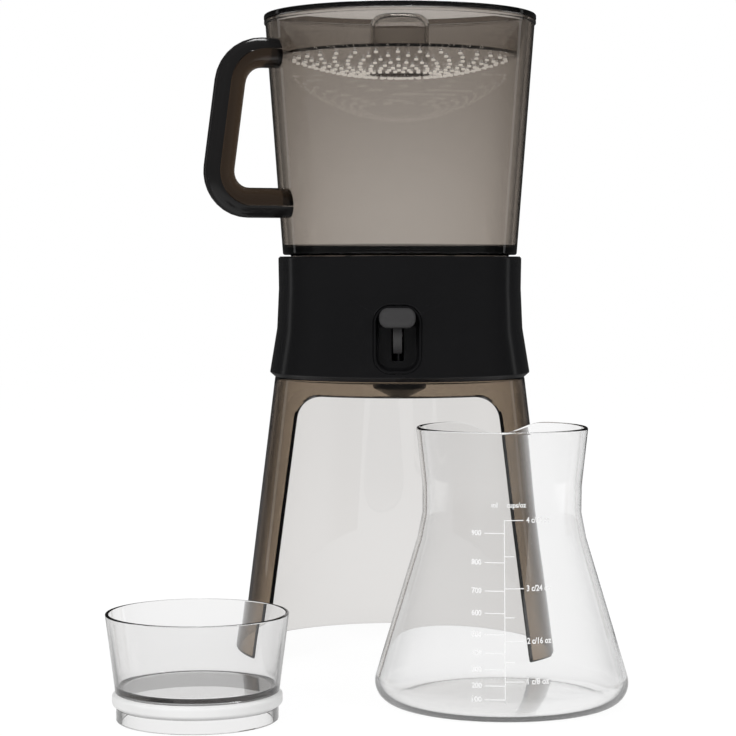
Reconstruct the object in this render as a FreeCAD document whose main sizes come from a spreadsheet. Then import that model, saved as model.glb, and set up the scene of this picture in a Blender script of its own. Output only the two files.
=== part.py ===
import FreeCAD
import Part
import Sketcher
import math
import os

# A drip-tower cold brew coffee maker: a smoke-clear stand with a black collar, a brewing container with its
# valve and filter, a perforated rainmaker on its rim, a glass carafe and a measuring cup that stops the carafe.
# Millimetres and degrees. The origin is on the floor on the tower's axis, +Z is up and the switch faces -Y.

SIZES = {
    # stand
    "stand_foot_radius": 95.25,
    "stand_shoulder_radius": 75.0,
    "stand_height": 165.0,
    "stand_wall": 3.0,
    "neck_radius": 70.6,
    "neck_rise": 4.5,
    "neck_flange_reach": 10.6,
    "arch_crown": 9.1,
    "arch_foot_half": 77.3,
    "arch_head_half": 57.1,
    "arch_corner": 15.0,
    # collar
    "collar_height": 72.0,
    "collar_mouth_radius": 73.0,
    "collar_waist_radius": 72.35,
    "collar_waist_drop": 43.0,
    "collar_flare_rounding": 200.0,
    "collar_hem_radius": 78.0,
    "collar_hem_rise": 2.7,
    "collar_hem_band": 1.3,
    "collar_hem_bevel": 3.1,
    "collar_edge": 0.8,
    "collar_wall": 3.0,
    "collar_ledge_reach": 8.0,
    # deck and base inside the collar
    "deck_drop": 10.0,
    "deck_thickness": 3.0,
    "deck_skirt_wall": 2.6,
    "plate_thickness": 3.0,
    "post_circle_radius": 50.0,
    "post_radius": 4.5,
    "screw_radius": 1.5,
    "screw_depth": 12.0,
    "screw_head_radius": 3.2,
    "screw_head_height": 2.0,
    "screw_count": 4.0,
    "notch_margin": 2.0,
    # drip funnel
    "funnel_flange_radius": 27.0,
    "funnel_throat_radius": 21.9,
    "funnel_bowl_radius": 16.2,
    "funnel_tip_radius": 6.0,
    "funnel_nozzle_bore": 3.2,
    "funnel_drop": 11.5,
    "funnel_throat_drop": 4.0,
    "funnel_bowl_height": 3.0,
    "funnel_wall": 2.0,
    # brew switch
    "pocket_half_width": 13.85,
    "pocket_height": 38.8,
    "pocket_rise": 5.0,
    "pocket_corner": 10.0,
    "pocket_floor": 67.0,
    "pocket_wall": 1.6,
    "slot_half_width": 3.4,
    "slot_height": 27.0,
    "slot_rise": 12.0,
    "ear_height": 8.0,
    "ear_past_pin": 3.5,
    "lever_reach": 58.0,
    "lever_rise": 27.0,
    "lever_half_width": 2.5,
    "lever_hub_radius": 5.0,
    "sector_radius": 15.0,
    "sector_below": 45.0,
    "sector_above": 30.0,
    "lever_travel": 25.0,
    "crank_radius": 8.0,
    "crank_pin_radius": 1.5,
    "crank_eye_radius": 3.0,
    "pivot_pin_radius": 1.5,
    "ear_wall": 3.0,
    "ear_gap": 0.4,
    "knob_half_width": 10.4,
    "knob_height": 11.6,
    "knob_depth": 7.8,
    "knob_rise": 4.0,
    "knob_corner": 4.6,
    "knob_edge": 1.4,
    "tang_depth": 4.6,
    "tang_height": 3.0,
    # lifter
    "rod_reach": 40.0,
    "rod_radius": 2.0,
    "lifter_boss_radius": 4.6,
    "lifter_boss_height": 12.0,
    "lifter_arm_half": 3.4,
    "lifter_arm_height": 5.0,
    "cheek_wall": 2.6,
    "cheek_height": 8.0,
    "cheek_gap": 0.3,
    "fork_lip": 1.8,
    "fork_slot_end": 0.6,
    "push_pin_radius": 2.2,
    "running_gap": 0.05,
    "slide_gap": 0.1,
    "loose_gap": 0.3,
    # brewing container
    "container_gap": 2.0,
    "container_foot_radius": 70.2,
    "container_rim_radius": 80.5,
    "container_height": 136.5,
    "container_wall": 3.1,
    "container_floor": 3.0,
    "floor_fall": 0.8,
    "rim_bead_reach": 0.8,
    "rim_bead_height": 1.9,
    "well_radius": 33.0,
    "well_depth": 16.0,
    "foot_ring_radius": 65.5,
    "foot_ring_wall": 3.0,
    # handle
    "handle_turn": 24.8,
    "handle_top": 355.8,
    "handle_bottom": 268.3,
    "handle_top_reach": 105.5,
    "handle_bottom_reach": 117.5,
    "handle_top_bend": 20.0,
    "handle_bottom_bend": 18.0,
    "handle_radius": 8.8,
    # outlet fitting
    "neck_bore_radius": 9.0,
    "housing_flange_radius": 14.0,
    "housing_flange_height": 2.5,
    "housing_spout_radius": 8.0,
    "housing_spout_length": 9.0,
    "spout_wall": 2.4,
    "seat_rise": 8.0,
    "gasket_thickness": 1.5,
    "gasket_inset": 1.0,
    "nut_across": 12.5,
    "nut_height": 3.0,
    "thread_past_nut": 1.0,
    "valve_bore": 6.4,
    "valve_seat_radius": 4.2,
    "valve_seat_height": 2.0,
    "valve_seal_radius": 5.8,
    "valve_seal_height": 2.2,
    "valve_head_height": 1.4,
    "valve_head_inset": 0.8,
    "stem_below_spout": 2.0,
    "stem_past_retainer": 1.0,
    "valve_stem_radius": 1.8,
    "spring_height": 5.5,
    "spring_radius": 3.6,
    "spring_wire": 0.35,
    "spring_turns": 4.0,
    "retainer_height": 1.5,
    "drain_radius": 1.3,
    "drain_circle_radius": 4.7,
    "drain_count": 5.0,
    # filter
    "filter_radius": 29.5,
    "filter_rim_width": 4.0,
    "filter_rim_height": 12.0,
    "filter_mesh_rise": 8.0,
    "filter_mesh_thickness": 0.6,
    "filter_crown": 2.0,
    "filter_gasket_bulge": 0.45,
    "filter_gasket_depth": 1.2,
    "filter_gasket_height": 3.0,
    "filter_gasket_rise": 2.0,
    "filter_spoke_width": 2.4,
    "filter_grip_radius": 4.0,
    "filter_grip_height": 4.0,
    "well_clearance": 0.5,
    # rainmaker
    "rain_flange_radius": 81.4,
    "rain_flange_height": 3.5,
    "rain_flange_edge": 0.6,
    "rain_wall": 2.4,
    "rain_wall_gap": 0.6,
    "rain_plate_radius": 68.8,
    "rain_depth": 21.5,
    "rain_plate_thickness": 2.2,
    "rain_dish": 10.0,
    "rain_grip_radius": 18.0,
    "rain_grip_rounding": 8.0,
    "rain_grip_below_rim": 2.0,
    "rain_hole_radius": 1.15,
    "rain_ring_first": 27.0,
    "rain_ring_step": 8.4,
    "rain_ring_margin": 3.0,
    "rain_holes_first": 14.0,
    "rain_holes_step": 5.0,
    # carafe
    "carafe_right": 57.1,
    "carafe_forward": 162.3,
    "carafe_height": 146.5,
    "carafe_wall": 2.2,
    "carafe_foot_radius": 71.2,
    "carafe_foot_rounding": 11.0,
    "carafe_waist_radius": 40.7,
    "carafe_waist_height": 101.0,
    "carafe_waist_rounding": 70.0,
    "carafe_rim_radius": 45.6,
    "carafe_spout_dip": 6.8,
    "carafe_spout_rounding": 26.0,
    # measuring cup
    "cup_left": 99.7,
    "cup_forward": 214.6,
    "cup_height": 54.8,
    "cup_rim_radius": 47.0,
    "cup_wall": 1.8,
    "cup_waist_radius": 42.0,
    "cup_foot_radius": 41.5,
    "cup_floor_height": 15.6,
    "seal_rise": 7.2,
    "seal_height": 7.6,
    "seal_reach": 2.1,
    "seal_groove": 1.0,
    "seal_crown_height": 3.0,
}

# How far a cutting shape runs past what it cuts
BEYOND = 1.0
# Sections that one turn of the spring is lofted through
SPRING_STEPS = 8

doc = FreeCAD.newDocument("cold_brew_maker")
sheet = doc.addObject("Spreadsheet::Sheet", "Sizes")


class Length:
    """A size that keeps its number together with the sheet expression that gives it."""

    def __init__(self, number, text):
        self.number = float(number)
        self.text = text

    def __add__(self, other):
        other = sized(other)
        return Length(self.number + other.number, f"({self.text} + {other.text})")

    def __sub__(self, other):
        other = sized(other)
        return Length(self.number - other.number, f"({self.text} - {other.text})")

    def __mul__(self, other):
        other = sized(other)
        return Length(self.number * other.number, f"({self.text} * {other.text})")

    def __truediv__(self, other):
        other = sized(other)
        return Length(self.number / other.number, f"({self.text} / {other.text})")

    def __neg__(self):
        return Length(-self.number, f"(-{self.text})")


def sized(value):
    return value if isinstance(value, Length) else Length(value, f"{float(value)!r}")


class Namespace:
    """Every cell of the sheet as a Length, by its alias."""


size = Namespace()
for row, (alias, number) in enumerate(SIZES.items(), start=1):
    sheet.set(f"A{row}", alias)
    sheet.set(f"B{row}", repr(number))
    sheet.setAlias(f"B{row}", alias)
    setattr(size, alias, Length(number, f"Sizes.{alias}"))
doc.recompute()

pieces = []


def keep(piece, label):
    """Give a finished object its node name and list it for writing."""
    piece.Label = label
    pieces.append(piece)
    return piece


def bind(target, prop, length):
    """Tie one property of an object to the sheet."""
    target.setExpression(prop, sized(length).text)


def place(target, right=0, back=0, up=0, turn=None):
    """Move an object by sized lengths, and turn it about Z by a sized angle."""
    target.Placement = FreeCAD.Placement(FreeCAD.Vector(), FreeCAD.Rotation(FreeCAD.Vector(0, 0, 1), 0))
    for axis, length in (("x", right), ("y", back), ("z", up)):
        bind(target, f"Placement.Base.{axis}", length)
    if turn is not None:
        bind(target, "Placement.Rotation.Angle", turn)


def body_named(label):
    return keep(doc.addObject("PartDesign::Body", label), label)


def plane(body, role):
    return next(item for item in body.Origin.OriginFeatures if item.Role == role)


def sketch_on(body, name, role, lift=None):
    """A sketch on one of the body's own planes, lifted off it by a sized length."""
    sketch = body.newObject("Sketcher::SketchObject", name)
    sketch.AttachmentSupport = [(plane(body, role), "")]
    sketch.MapMode = "FlatFace"
    if lift is not None:
        bind(sketch, "AttachmentOffset.Base.z", lift)
    return sketch


def pin_point(sketch, geometry, end, across, up):
    """Hold a sketch point at two sized distances from the origin."""
    for kind, axis, length in (("DistanceX", -2, sized(across)), ("DistanceY", -1, sized(up))):
        if abs(length.number) < 1e-9:
            sketch.addConstraint(Sketcher.Constraint("PointOnObject", geometry, end, axis))
        elif length.number > 0:
            index = sketch.addConstraint(Sketcher.Constraint(kind, -1, 1, geometry, end, length.number))
            sketch.setExpression(f"Constraints[{index}]", length.text)
        else:
            index = sketch.addConstraint(Sketcher.Constraint(kind, geometry, end, -1, 1, -length.number))
            sketch.setExpression(f"Constraints[{index}]", (-length).text)


def draw_outline(sketch, corners):
    """Draw a closed outline of straight runs. A corner is (across, up) or (across, up, rounding)."""
    points = [FreeCAD.Vector(sized(c[0]).number, sized(c[1]).number, 0) for c in corners]
    count = len(corners)
    arrive, leave, arcs = [], [], {}
    for i, corner in enumerate(corners):
        if len(corner) == 2:
            arrive.append(points[i])
            leave.append(points[i])
            continue
        back = (points[i - 1] - points[i]).normalize()
        onward = (points[(i + 1) % count] - points[i]).normalize()
        half = back.getAngle(onward) / 2
        reach = sized(corner[2]).number / math.tan(half)
        arrive.append(points[i] + back * reach)
        leave.append(points[i] + onward * reach)
        middle = (back + onward).normalize()
        centre = points[i] + middle * (sized(corner[2]).number / math.sin(half))
        crest = centre - middle * sized(corner[2]).number
        arcs[i] = Part.Arc(arrive[i], crest, leave[i])
    lines = [sketch.addGeometry(Part.LineSegment(leave[i], arrive[(i + 1) % count])) for i in range(count)]
    for i, corner in enumerate(corners):
        before, after = lines[i - 1], lines[i]
        if i not in arcs:
            sketch.addConstraint(Sketcher.Constraint("Coincident", before, 2, after, 1))
            pin_point(sketch, after, 1, corner[0], corner[1])
            continue
        arc = sketch.addGeometry(arcs[i])
        near = 1 if sketch.getPoint(arc, 1).distanceToPoint(arrive[i]) < 1e-6 else 2
        tip = sketch.addGeometry(Part.Point(points[i]), True)
        pin_point(sketch, tip, 1, corner[0], corner[1])
        sketch.addConstraint(Sketcher.Constraint("PointOnObject", tip, 1, before))
        sketch.addConstraint(Sketcher.Constraint("PointOnObject", tip, 1, after))
        sketch.addConstraint(Sketcher.Constraint("Tangent", before, 2, arc, near))
        sketch.addConstraint(Sketcher.Constraint("Tangent", arc, 3 - near, after, 1))
        radius = sketch.addConstraint(Sketcher.Constraint("Radius", arc, sized(corner[2]).number))
        sketch.setExpression(f"Constraints[{radius}]", sized(corner[2]).text)


def draw_circle(sketch, radius, across=0, up=0):
    centre = FreeCAD.Vector(sized(across).number, sized(up).number, 0)
    ring = sketch.addGeometry(Part.Circle(centre, FreeCAD.Vector(0, 0, 1), sized(radius).number))
    pin_point(sketch, ring, 3, across, up)
    index = sketch.addConstraint(Sketcher.Constraint("Radius", ring, sized(radius).number))
    sketch.setExpression(f"Constraints[{index}]", sized(radius).text)


def round_corners(before, corner, after, rounding, steps):
    """The points of a tangent arc that rounds a corner, evenly turned, for faces that mesh lightly."""
    here = FreeCAD.Vector(sized(corner[0]).number, sized(corner[1]).number, 0)
    back = (FreeCAD.Vector(sized(before[0]).number, sized(before[1]).number, 0) - here).normalize()
    onward = (FreeCAD.Vector(sized(after[0]).number, sized(after[1]).number, 0) - here).normalize()
    half = back.getAngle(onward) / 2
    turn = math.pi - 2 * half
    middle = (back + onward).normalize()
    side = (onward - back).normalize()
    centre = (sized(corner[0]) + sized(rounding) * (middle.x / math.sin(half)),
              sized(corner[1]) + sized(rounding) * (middle.y / math.sin(half)))
    points = []
    for step in range(steps + 1):
        angle = turn * (step / steps - 0.5)
        spoke = side * math.sin(angle) - middle * math.cos(angle)
        points.append((centre[0] + sized(rounding) * spoke.x, centre[1] + sized(rounding) * spoke.y))
    return points


def turned(body, corners):
    """Revolve an outline of (radius, height) corners about the body's Z axis."""
    sketch = sketch_on(body, body.Name + "_section", "XZ_Plane")
    draw_outline(sketch, corners)
    feature = body.newObject("PartDesign::Revolution", body.Name + "_turned")
    feature.Profile = sketch
    feature.ReferenceAxis = (sketch, ["V_Axis"])
    feature.Angle = 360
    return feature


def turned_piece(label, corners):
    body = body_named(label)
    turned(body, corners)
    return body


def cut_through(body, sketch, name, reversed_way=False, both=False):
    """Pocket a sketch through the whole body, to one side of its plane or to both."""
    feature = body.newObject("PartDesign::Pocket", name)
    feature.Profile = sketch
    feature.Type = "ThroughAll"
    feature.Reversed = reversed_way
    feature.Midplane = both
    return feature


def around(body, feature, name, count):
    """Repeat a feature round the body's Z axis."""
    pattern = body.newObject("PartDesign::PolarPattern", name)
    pattern.Originals = [feature]
    pattern.Axis = (plane(body, "Z_Axis"), [""])
    pattern.Angle = 360
    bind(pattern, "Occurrences", count)
    body.Tip = pattern
    return pattern


def solid(kind, name, right=0, back=0, up=0, **lengths):
    """A Part primitive with its sizes and place tied to the sheet."""
    item = doc.addObject(f"Part::{kind}", name)
    place(item, right, back, up)
    for prop, length in lengths.items():
        bind(item, prop, length)
    return item


def rod_along_x(name, radius, half_length, back, up):
    """A cylinder lying along X, centred on the YZ plane."""
    item = doc.addObject("Part::Cylinder", name)
    quarter = FreeCAD.Rotation(FreeCAD.Vector(0, 1, 0), 90)
    item.Placement = FreeCAD.Placement(FreeCAD.Vector(), quarter)
    bind(item, "Radius", radius)
    bind(item, "Height", sized(half_length) * 2)
    bind(item, "Placement.Base.x", -sized(half_length))
    bind(item, "Placement.Base.y", back)
    bind(item, "Placement.Base.z", up)
    return item


def block(name, half_width, front, back, low, high):
    """A box centred on the YZ plane, from front to back and from low to high."""
    half, near, far = sized(half_width), sized(front), sized(back)
    base, top = sized(low), sized(high)
    return solid("Box", name, -half, near, base, Length=half * 2, Width=far - near, Height=top - base)


def fused(name, *items):
    union = doc.addObject("Part::MultiFuse", name)
    union.Shapes = list(items)
    return union


def cut(name, base, tool):
    result = doc.addObject("Part::Cut", name)
    result.Base = base
    result.Tool = tool
    return result


def common(name, first, second):
    result = doc.addObject("Part::MultiCommon", name)
    result.Shapes = [first, second]
    return result


# Heights that several pieces share
collar_top = size.stand_height + size.collar_height
neck_top = size.stand_height + size.neck_rise
flange_under = neck_top - size.stand_wall
deck_top = collar_top - size.deck_drop
deck_under = deck_top - size.deck_thickness
container_base = collar_top + size.container_gap
container_rim = container_base + size.container_height + size.rim_bead_height
chamber_floor = container_base + size.container_floor
well_floor = chamber_floor - size.well_depth
well_under = well_floor - size.container_floor
pocket_low = size.stand_height + size.pocket_rise
pocket_high = pocket_low + size.pocket_height
pivot_height = size.stand_height + size.lever_rise
housing_flange_top = well_under - size.gasket_thickness
housing_flange_under = housing_flange_top - size.housing_flange_height
spout_tip = housing_flange_under - size.housing_spout_length
seat_top = spout_tip + size.seat_rise
stem_tip = spout_tip - size.stem_below_spout

# The switch turns on an X axis behind the pocket's floor; its crank pin points back and a little down at rest
pivot_back = -size.lever_reach
half_travel = math.radians(SIZES["lever_travel"] / 2)
crank_back = pivot_back + size.crank_radius * math.cos(half_travel)
crank_height = pivot_height - size.crank_radius * math.sin(half_travel)
cheek_inner = size.lever_half_width + size.cheek_gap


def stand_shell():
    inner_foot = size.stand_foot_radius - size.stand_wall
    inner_shoulder = size.stand_shoulder_radius - size.stand_wall
    neck_inner = size.neck_radius - size.stand_wall
    shoulder_under = size.stand_height - size.stand_wall
    body = turned_piece("stand_shell", [
        (inner_foot, 0),
        (size.stand_foot_radius, 0),
        (size.stand_shoulder_radius, size.stand_height),
        (size.neck_radius, size.stand_height),
        (size.neck_radius, neck_top),
        (size.neck_radius - size.neck_flange_reach, neck_top),
        (size.neck_radius - size.neck_flange_reach, flange_under),
        (neck_inner, flange_under),
        (neck_inner, shoulder_under),
        (inner_shoulder, shoulder_under),
    ])
    # The arch is one straight cut through the front half, splayed towards the floor
    arch_top = size.stand_height - size.arch_crown
    sketch = sketch_on(body, "arch", "XZ_Plane")
    draw_outline(sketch, [
        (size.arch_foot_half, 0),
        (size.arch_head_half, arch_top, size.arch_corner),
        (-size.arch_head_half, arch_top, size.arch_corner),
        (-size.arch_foot_half, 0),
    ])
    cut_through(body, sketch, "arch_cut", reversed_way=True)


def collar_outline():
    """The collar's outer face from its mouth down to its bevelled hem."""
    hem_low = size.stand_height
    mouth = (size.collar_mouth_radius, collar_top - size.collar_edge)
    waist = (size.collar_waist_radius, collar_top - size.collar_waist_drop)
    hem = (size.collar_hem_radius, hem_low + size.collar_hem_rise + size.collar_hem_band)
    flare = round_corners(mouth, waist, hem, size.collar_flare_rounding, 4)
    return [
        (size.collar_mouth_radius - size.collar_edge, collar_top),
        mouth,
        *flare,
        hem,
        (size.collar_hem_radius, hem_low + size.collar_hem_rise),
        (size.collar_hem_radius - size.collar_hem_bevel, hem_low),
    ]


def pocket_outline(margin=0):
    """The switch pocket's rounded outline, seen from the front, drawn in by a sized margin."""
    half = size.pocket_half_width - margin
    rounding = size.pocket_corner - margin
    return [
        (half, pocket_low + margin, rounding),
        (half, pocket_high - margin, rounding),
        (-half, pocket_high - margin, rounding),
        (-half, pocket_low + margin, rounding),
    ]


def collar_shell():
    inner = size.collar_mouth_radius - size.collar_wall
    neck_hole = size.neck_radius + size.slide_gap
    body = turned_piece("collar_shell", collar_outline() + [
        (neck_hole, size.stand_height),
        (neck_hole, neck_top),
        (inner - size.collar_ledge_reach, neck_top),
        (inner - size.collar_ledge_reach, neck_top + size.collar_wall),
        (inner, neck_top + size.collar_wall),
        (inner, collar_top),
    ])
    sketch = sketch_on(body, "switch_window", "XZ_Plane")
    draw_outline(sketch, pocket_outline())
    cut_through(body, sketch, "switch_window_cut", reversed_way=True)


def collar_deck():
    outer = size.collar_mouth_radius - size.collar_wall - size.slide_gap
    skirt_inner = outer - size.deck_skirt_wall
    skirt_low = neck_top + size.collar_wall
    body = turned_piece("collar_deck", [
        (size.well_radius + size.well_clearance * 3, deck_under),
        (skirt_inner, deck_under),
        (skirt_inner, skirt_low),
        (outer, skirt_low),
        (outer, deck_top),
        (size.well_radius + size.well_clearance * 3, deck_top),
    ])
    # The skirt is open in front, where the switch works
    notch_half = size.pocket_half_width + size.notch_margin
    notch_top = pocket_high + size.notch_margin
    sketch = sketch_on(body, "skirt_notch", "XZ_Plane")
    draw_outline(sketch, [
        (notch_half, skirt_low - BEYOND),
        (notch_half, notch_top),
        (-notch_half, notch_top),
        (-notch_half, skirt_low - BEYOND),
    ])
    cut_through(body, sketch, "skirt_notch_cut", reversed_way=True)
    spread = size.post_circle_radius * math.sqrt(0.5)
    holes = sketch_on(body, "screw_hole", "XY_Plane", deck_top)
    draw_circle(holes, size.screw_radius + size.slide_gap, spread, spread)
    drilled = cut_through(body, holes, "screw_hole_cut", both=True)
    around(body, drilled, "screw_holes", size.screw_count)


def collar_base():
    plate_low = flange_under - size.plate_thickness
    body = turned_piece("collar_base", [
        (size.funnel_throat_radius + size.slide_gap, plate_low),
        (size.neck_radius - size.stand_wall - size.slide_gap, plate_low),
        (size.neck_radius - size.stand_wall - size.slide_gap, flange_under),
        (size.funnel_throat_radius + size.slide_gap, flange_under),
    ])
    spread = size.post_circle_radius * math.sqrt(0.5)
    posts = sketch_on(body, "post", "XY_Plane", plate_low)
    draw_circle(posts, size.post_radius, spread, spread)
    post = body.newObject("PartDesign::Pad", "post_pad")
    post.Profile = posts
    bind(post, "Length", deck_under - plate_low)
    around(body, post, "posts", size.screw_count)
    bores = sketch_on(body, "post_bore", "XY_Plane", deck_under)
    draw_circle(bores, size.screw_radius, spread, spread)
    bore = body.newObject("PartDesign::Pocket", "post_bore_cut")
    bore.Profile = bores
    bind(bore, "Length", size.screw_depth)
    around(body, bore, "post_bores", size.screw_count)


def deck_screws():
    """Identical pan-head screws that pull the deck, the collar and the base together round the stand's neck."""
    spread = size.post_circle_radius * math.sqrt(0.5)
    screws = []
    for number, (right, back) in enumerate(((1, 1), (-1, 1), (-1, -1), (1, -1)), start=1):
        across, along = spread * right, spread * back
        shank_length = size.deck_thickness + size.screw_depth
        shank = solid("Cylinder", f"screw_shank_{number}", across, along, deck_top - shank_length,
                      Radius=size.screw_radius, Height=shank_length)
        head = solid("Cylinder", f"screw_head_{number}", across, along, deck_top,
                     Radius=size.screw_head_radius, Height=size.screw_head_height)
        socket = solid("Prism", f"screw_socket_{number}", across, along, deck_top + size.screw_head_height / 2,
                       Circumradius=size.screw_radius, Height=size.screw_head_height)
        socket.Polygon = 6
        screws.append(cut(f"screw_{number}", fused(f"screw_blank_{number}", shank, head), socket))
    group = doc.addObject("Part::Compound", "deck_screws")
    group.Links = screws
    keep(group, "deck_screws")


def drip_funnel():
    top = flange_under + size.funnel_wall
    waist = size.stand_height - size.funnel_throat_drop
    brim = waist - size.funnel_bowl_height
    tip = size.stand_height - size.funnel_drop
    wall = size.funnel_wall
    turned_piece("drip_funnel", [
        (size.funnel_flange_radius, flange_under),
        (size.funnel_flange_radius, top),
        (size.funnel_throat_radius - wall, top),
        (size.funnel_bowl_radius - wall, waist + wall / 2),
        (size.funnel_bowl_radius - wall, brim + wall / 2),
        (size.funnel_nozzle_bore, tip + wall),
        (size.funnel_nozzle_bore, tip),
        (size.funnel_tip_radius, tip),
        (size.funnel_bowl_radius, brim),
        (size.funnel_bowl_radius, waist),
        (size.funnel_throat_radius, flange_under - size.plate_thickness),
        (size.funnel_throat_radius, flange_under),
    ])


def switch_bezel():
    """The pocket's lining, trimmed flush with the collar's curved face, and the two ears that hold the pin."""
    # The plug of the pocket's outline, and the smaller plug that hollows it
    blanks = []
    for name, margin in (("bezel_outside", sized(0)), ("bezel_inside", size.pocket_wall)):
        blank = doc.addObject("PartDesign::Body", name)
        sketch = sketch_on(blank, name + "_outline", "XZ_Plane")
        draw_outline(sketch, pocket_outline(margin))
        pad = blank.newObject("PartDesign::Pad", name + "_pad")
        pad.Profile = sketch
        bind(pad, "Length", size.collar_hem_radius + BEYOND)
        blanks.append(blank)
    keeper = doc.addObject("PartDesign::Body", "bezel_reach")
    hollow = size.pocket_floor - size.pocket_wall
    turned(keeper, [(0, size.stand_height)] + list(reversed(collar_outline())) + [(0, collar_top)])
    trimmed = common("bezel_trimmed", blanks[0], keeper)
    behind = block("bezel_behind", size.pocket_half_width + BEYOND, -hollow, size.collar_hem_radius,
                   pocket_low - BEYOND, pocket_high + BEYOND)
    shell = cut("bezel_shell", trimmed, behind)
    in_front = block("bezel_in_front", size.pocket_half_width, -size.collar_hem_radius - BEYOND,
                     -size.pocket_floor, pocket_low, pocket_high)
    recess = common("bezel_recess", blanks[1], in_front)
    slot_low = size.stand_height + size.slot_rise
    slot = block("bezel_slot", size.slot_half_width, -size.pocket_floor - BEYOND, -hollow + BEYOND,
                 slot_low, slot_low + size.slot_height)
    dished = cut("bezel_dished", cut("bezel_lined", shell, recess), slot)
    inner_face = size.lever_half_width + size.ear_gap
    outer_face = inner_face + size.ear_wall
    back_edge = pivot_back + size.ear_past_pin
    ear_low, ear_high = pivot_height - size.ear_height / 2, pivot_height + size.ear_height / 2
    ears = block("ears_blank", outer_face, -hollow, back_edge, ear_low, ear_high)
    gap = block("ears_gap", inner_face, -hollow - BEYOND, back_edge + BEYOND, ear_low - BEYOND, ear_high + BEYOND)
    bored = rod_along_x("ears_bore", size.pivot_pin_radius, outer_face + BEYOND, pivot_back, pivot_height)
    pair = cut("ears_bored", cut("ears", ears, gap), bored)
    keep(fused("switch_bezel", dished, pair), "switch_bezel")
    keep(rod_along_x("lever_pin", size.pivot_pin_radius, outer_face, pivot_back, pivot_height), "lever_pin")


def brew_lever():
    """The slotted plate of the switch with its crank pin, and the T-shaped thumb knob on its tang."""
    half = size.lever_half_width
    sector = doc.addObject("Part::Cylinder", "lever_sector")
    bind(sector, "Radius", size.sector_radius)
    bind(sector, "Height", half * 2)
    bind(sector, "Angle", size.sector_below + size.sector_above)
    # The cylinder's own X axis is laid along the sector's lower edge, and its axis along X
    lower = math.radians(SIZES["sector_below"])
    edge = FreeCAD.Vector(0, -math.cos(lower), -math.sin(lower))
    axis = FreeCAD.Vector(-1, 0, 0)
    sector.Placement = FreeCAD.Placement(FreeCAD.Vector(), FreeCAD.Rotation(edge, axis.cross(edge), axis, "XYZ"))
    bind(sector, "Placement.Base.x", half)
    bind(sector, "Placement.Base.y", pivot_back)
    bind(sector, "Placement.Base.z", pivot_height)
    hub = rod_along_x("lever_hub", size.lever_hub_radius, half, pivot_back, pivot_height)
    eye = rod_along_x("lever_eye", size.crank_eye_radius, half, crank_back, crank_height)
    tail = block("lever_tail", half, pivot_back, crank_back, crank_height - size.crank_eye_radius / 2,
                 crank_height + size.crank_eye_radius / 2)
    crank = rod_along_x("lever_crank_pin", size.crank_pin_radius, cheek_inner + size.cheek_wall,
                        crank_back, crank_height)
    knob_low = pivot_height + size.knob_rise
    knob_back = pivot_back - size.sector_radius
    tang_top = knob_low + size.knob_height / 2
    tang_low = tang_top - size.tang_height
    tang = block("lever_tang", half, knob_back - size.tang_depth, pivot_back - size.sector_radius / 2,
                 tang_low, tang_top)
    blank = fused("lever_blank", sector, hub, eye, tail, crank, tang)
    bore = rod_along_x("lever_bore", size.pivot_pin_radius + size.running_gap, half + BEYOND,
                       pivot_back, pivot_height)
    keep(cut("lever_arm", blank, bore), "lever_arm")
    body = body_named("lever_knob")
    sketch = sketch_on(body, "knob_outline", "XZ_Plane", -knob_back)
    draw_outline(sketch, [
        (size.knob_half_width, knob_low, size.knob_corner),
        (size.knob_half_width, knob_low + size.knob_height, size.knob_corner),
        (-size.knob_half_width, knob_low + size.knob_height, size.knob_corner),
        (-size.knob_half_width, knob_low, size.knob_corner),
    ])
    pad = body.newObject("PartDesign::Pad", "knob_pad")
    pad.Profile = sketch
    bind(pad, "Length", size.knob_depth)
    socket = sketch_on(body, "knob_socket", "XZ_Plane", -knob_back)
    draw_outline(socket, [
        (half, tang_low),
        (half, tang_top),
        (-half, tang_top),
        (-half, tang_low),
    ])
    pocket = body.newObject("PartDesign::Pocket", "knob_socket_cut")
    pocket.Profile = socket
    pocket.Reversed = True
    bind(pocket, "Length", size.tang_depth)
    doc.recompute()
    front = (knob_back - size.knob_depth).number
    rim = [f"Edge{i + 1}" for i, edge in enumerate(pad.Shape.Edges)
           if all(abs(v.Point.y - front) < 1e-4 for v in edge.Vertexes)]
    softened = body.newObject("PartDesign::Fillet", "knob_edge")
    softened.Base = (pocket, matching_edges(pocket, pad, rim))
    bind(softened, "Radius", size.knob_edge)
    body.Tip = softened


def matching_edges(feature, source, names):
    """The edges of one feature that lie where the named edges of an earlier feature lie."""
    middles = [source.Shape.getElement(name).CenterOfMass for name in names]
    return [f"Edge{i + 1}" for i, edge in enumerate(feature.Shape.Edges)
            if any(edge.CenterOfMass.distanceToPoint(middle) < 1e-4 for middle in middles)]


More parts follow.
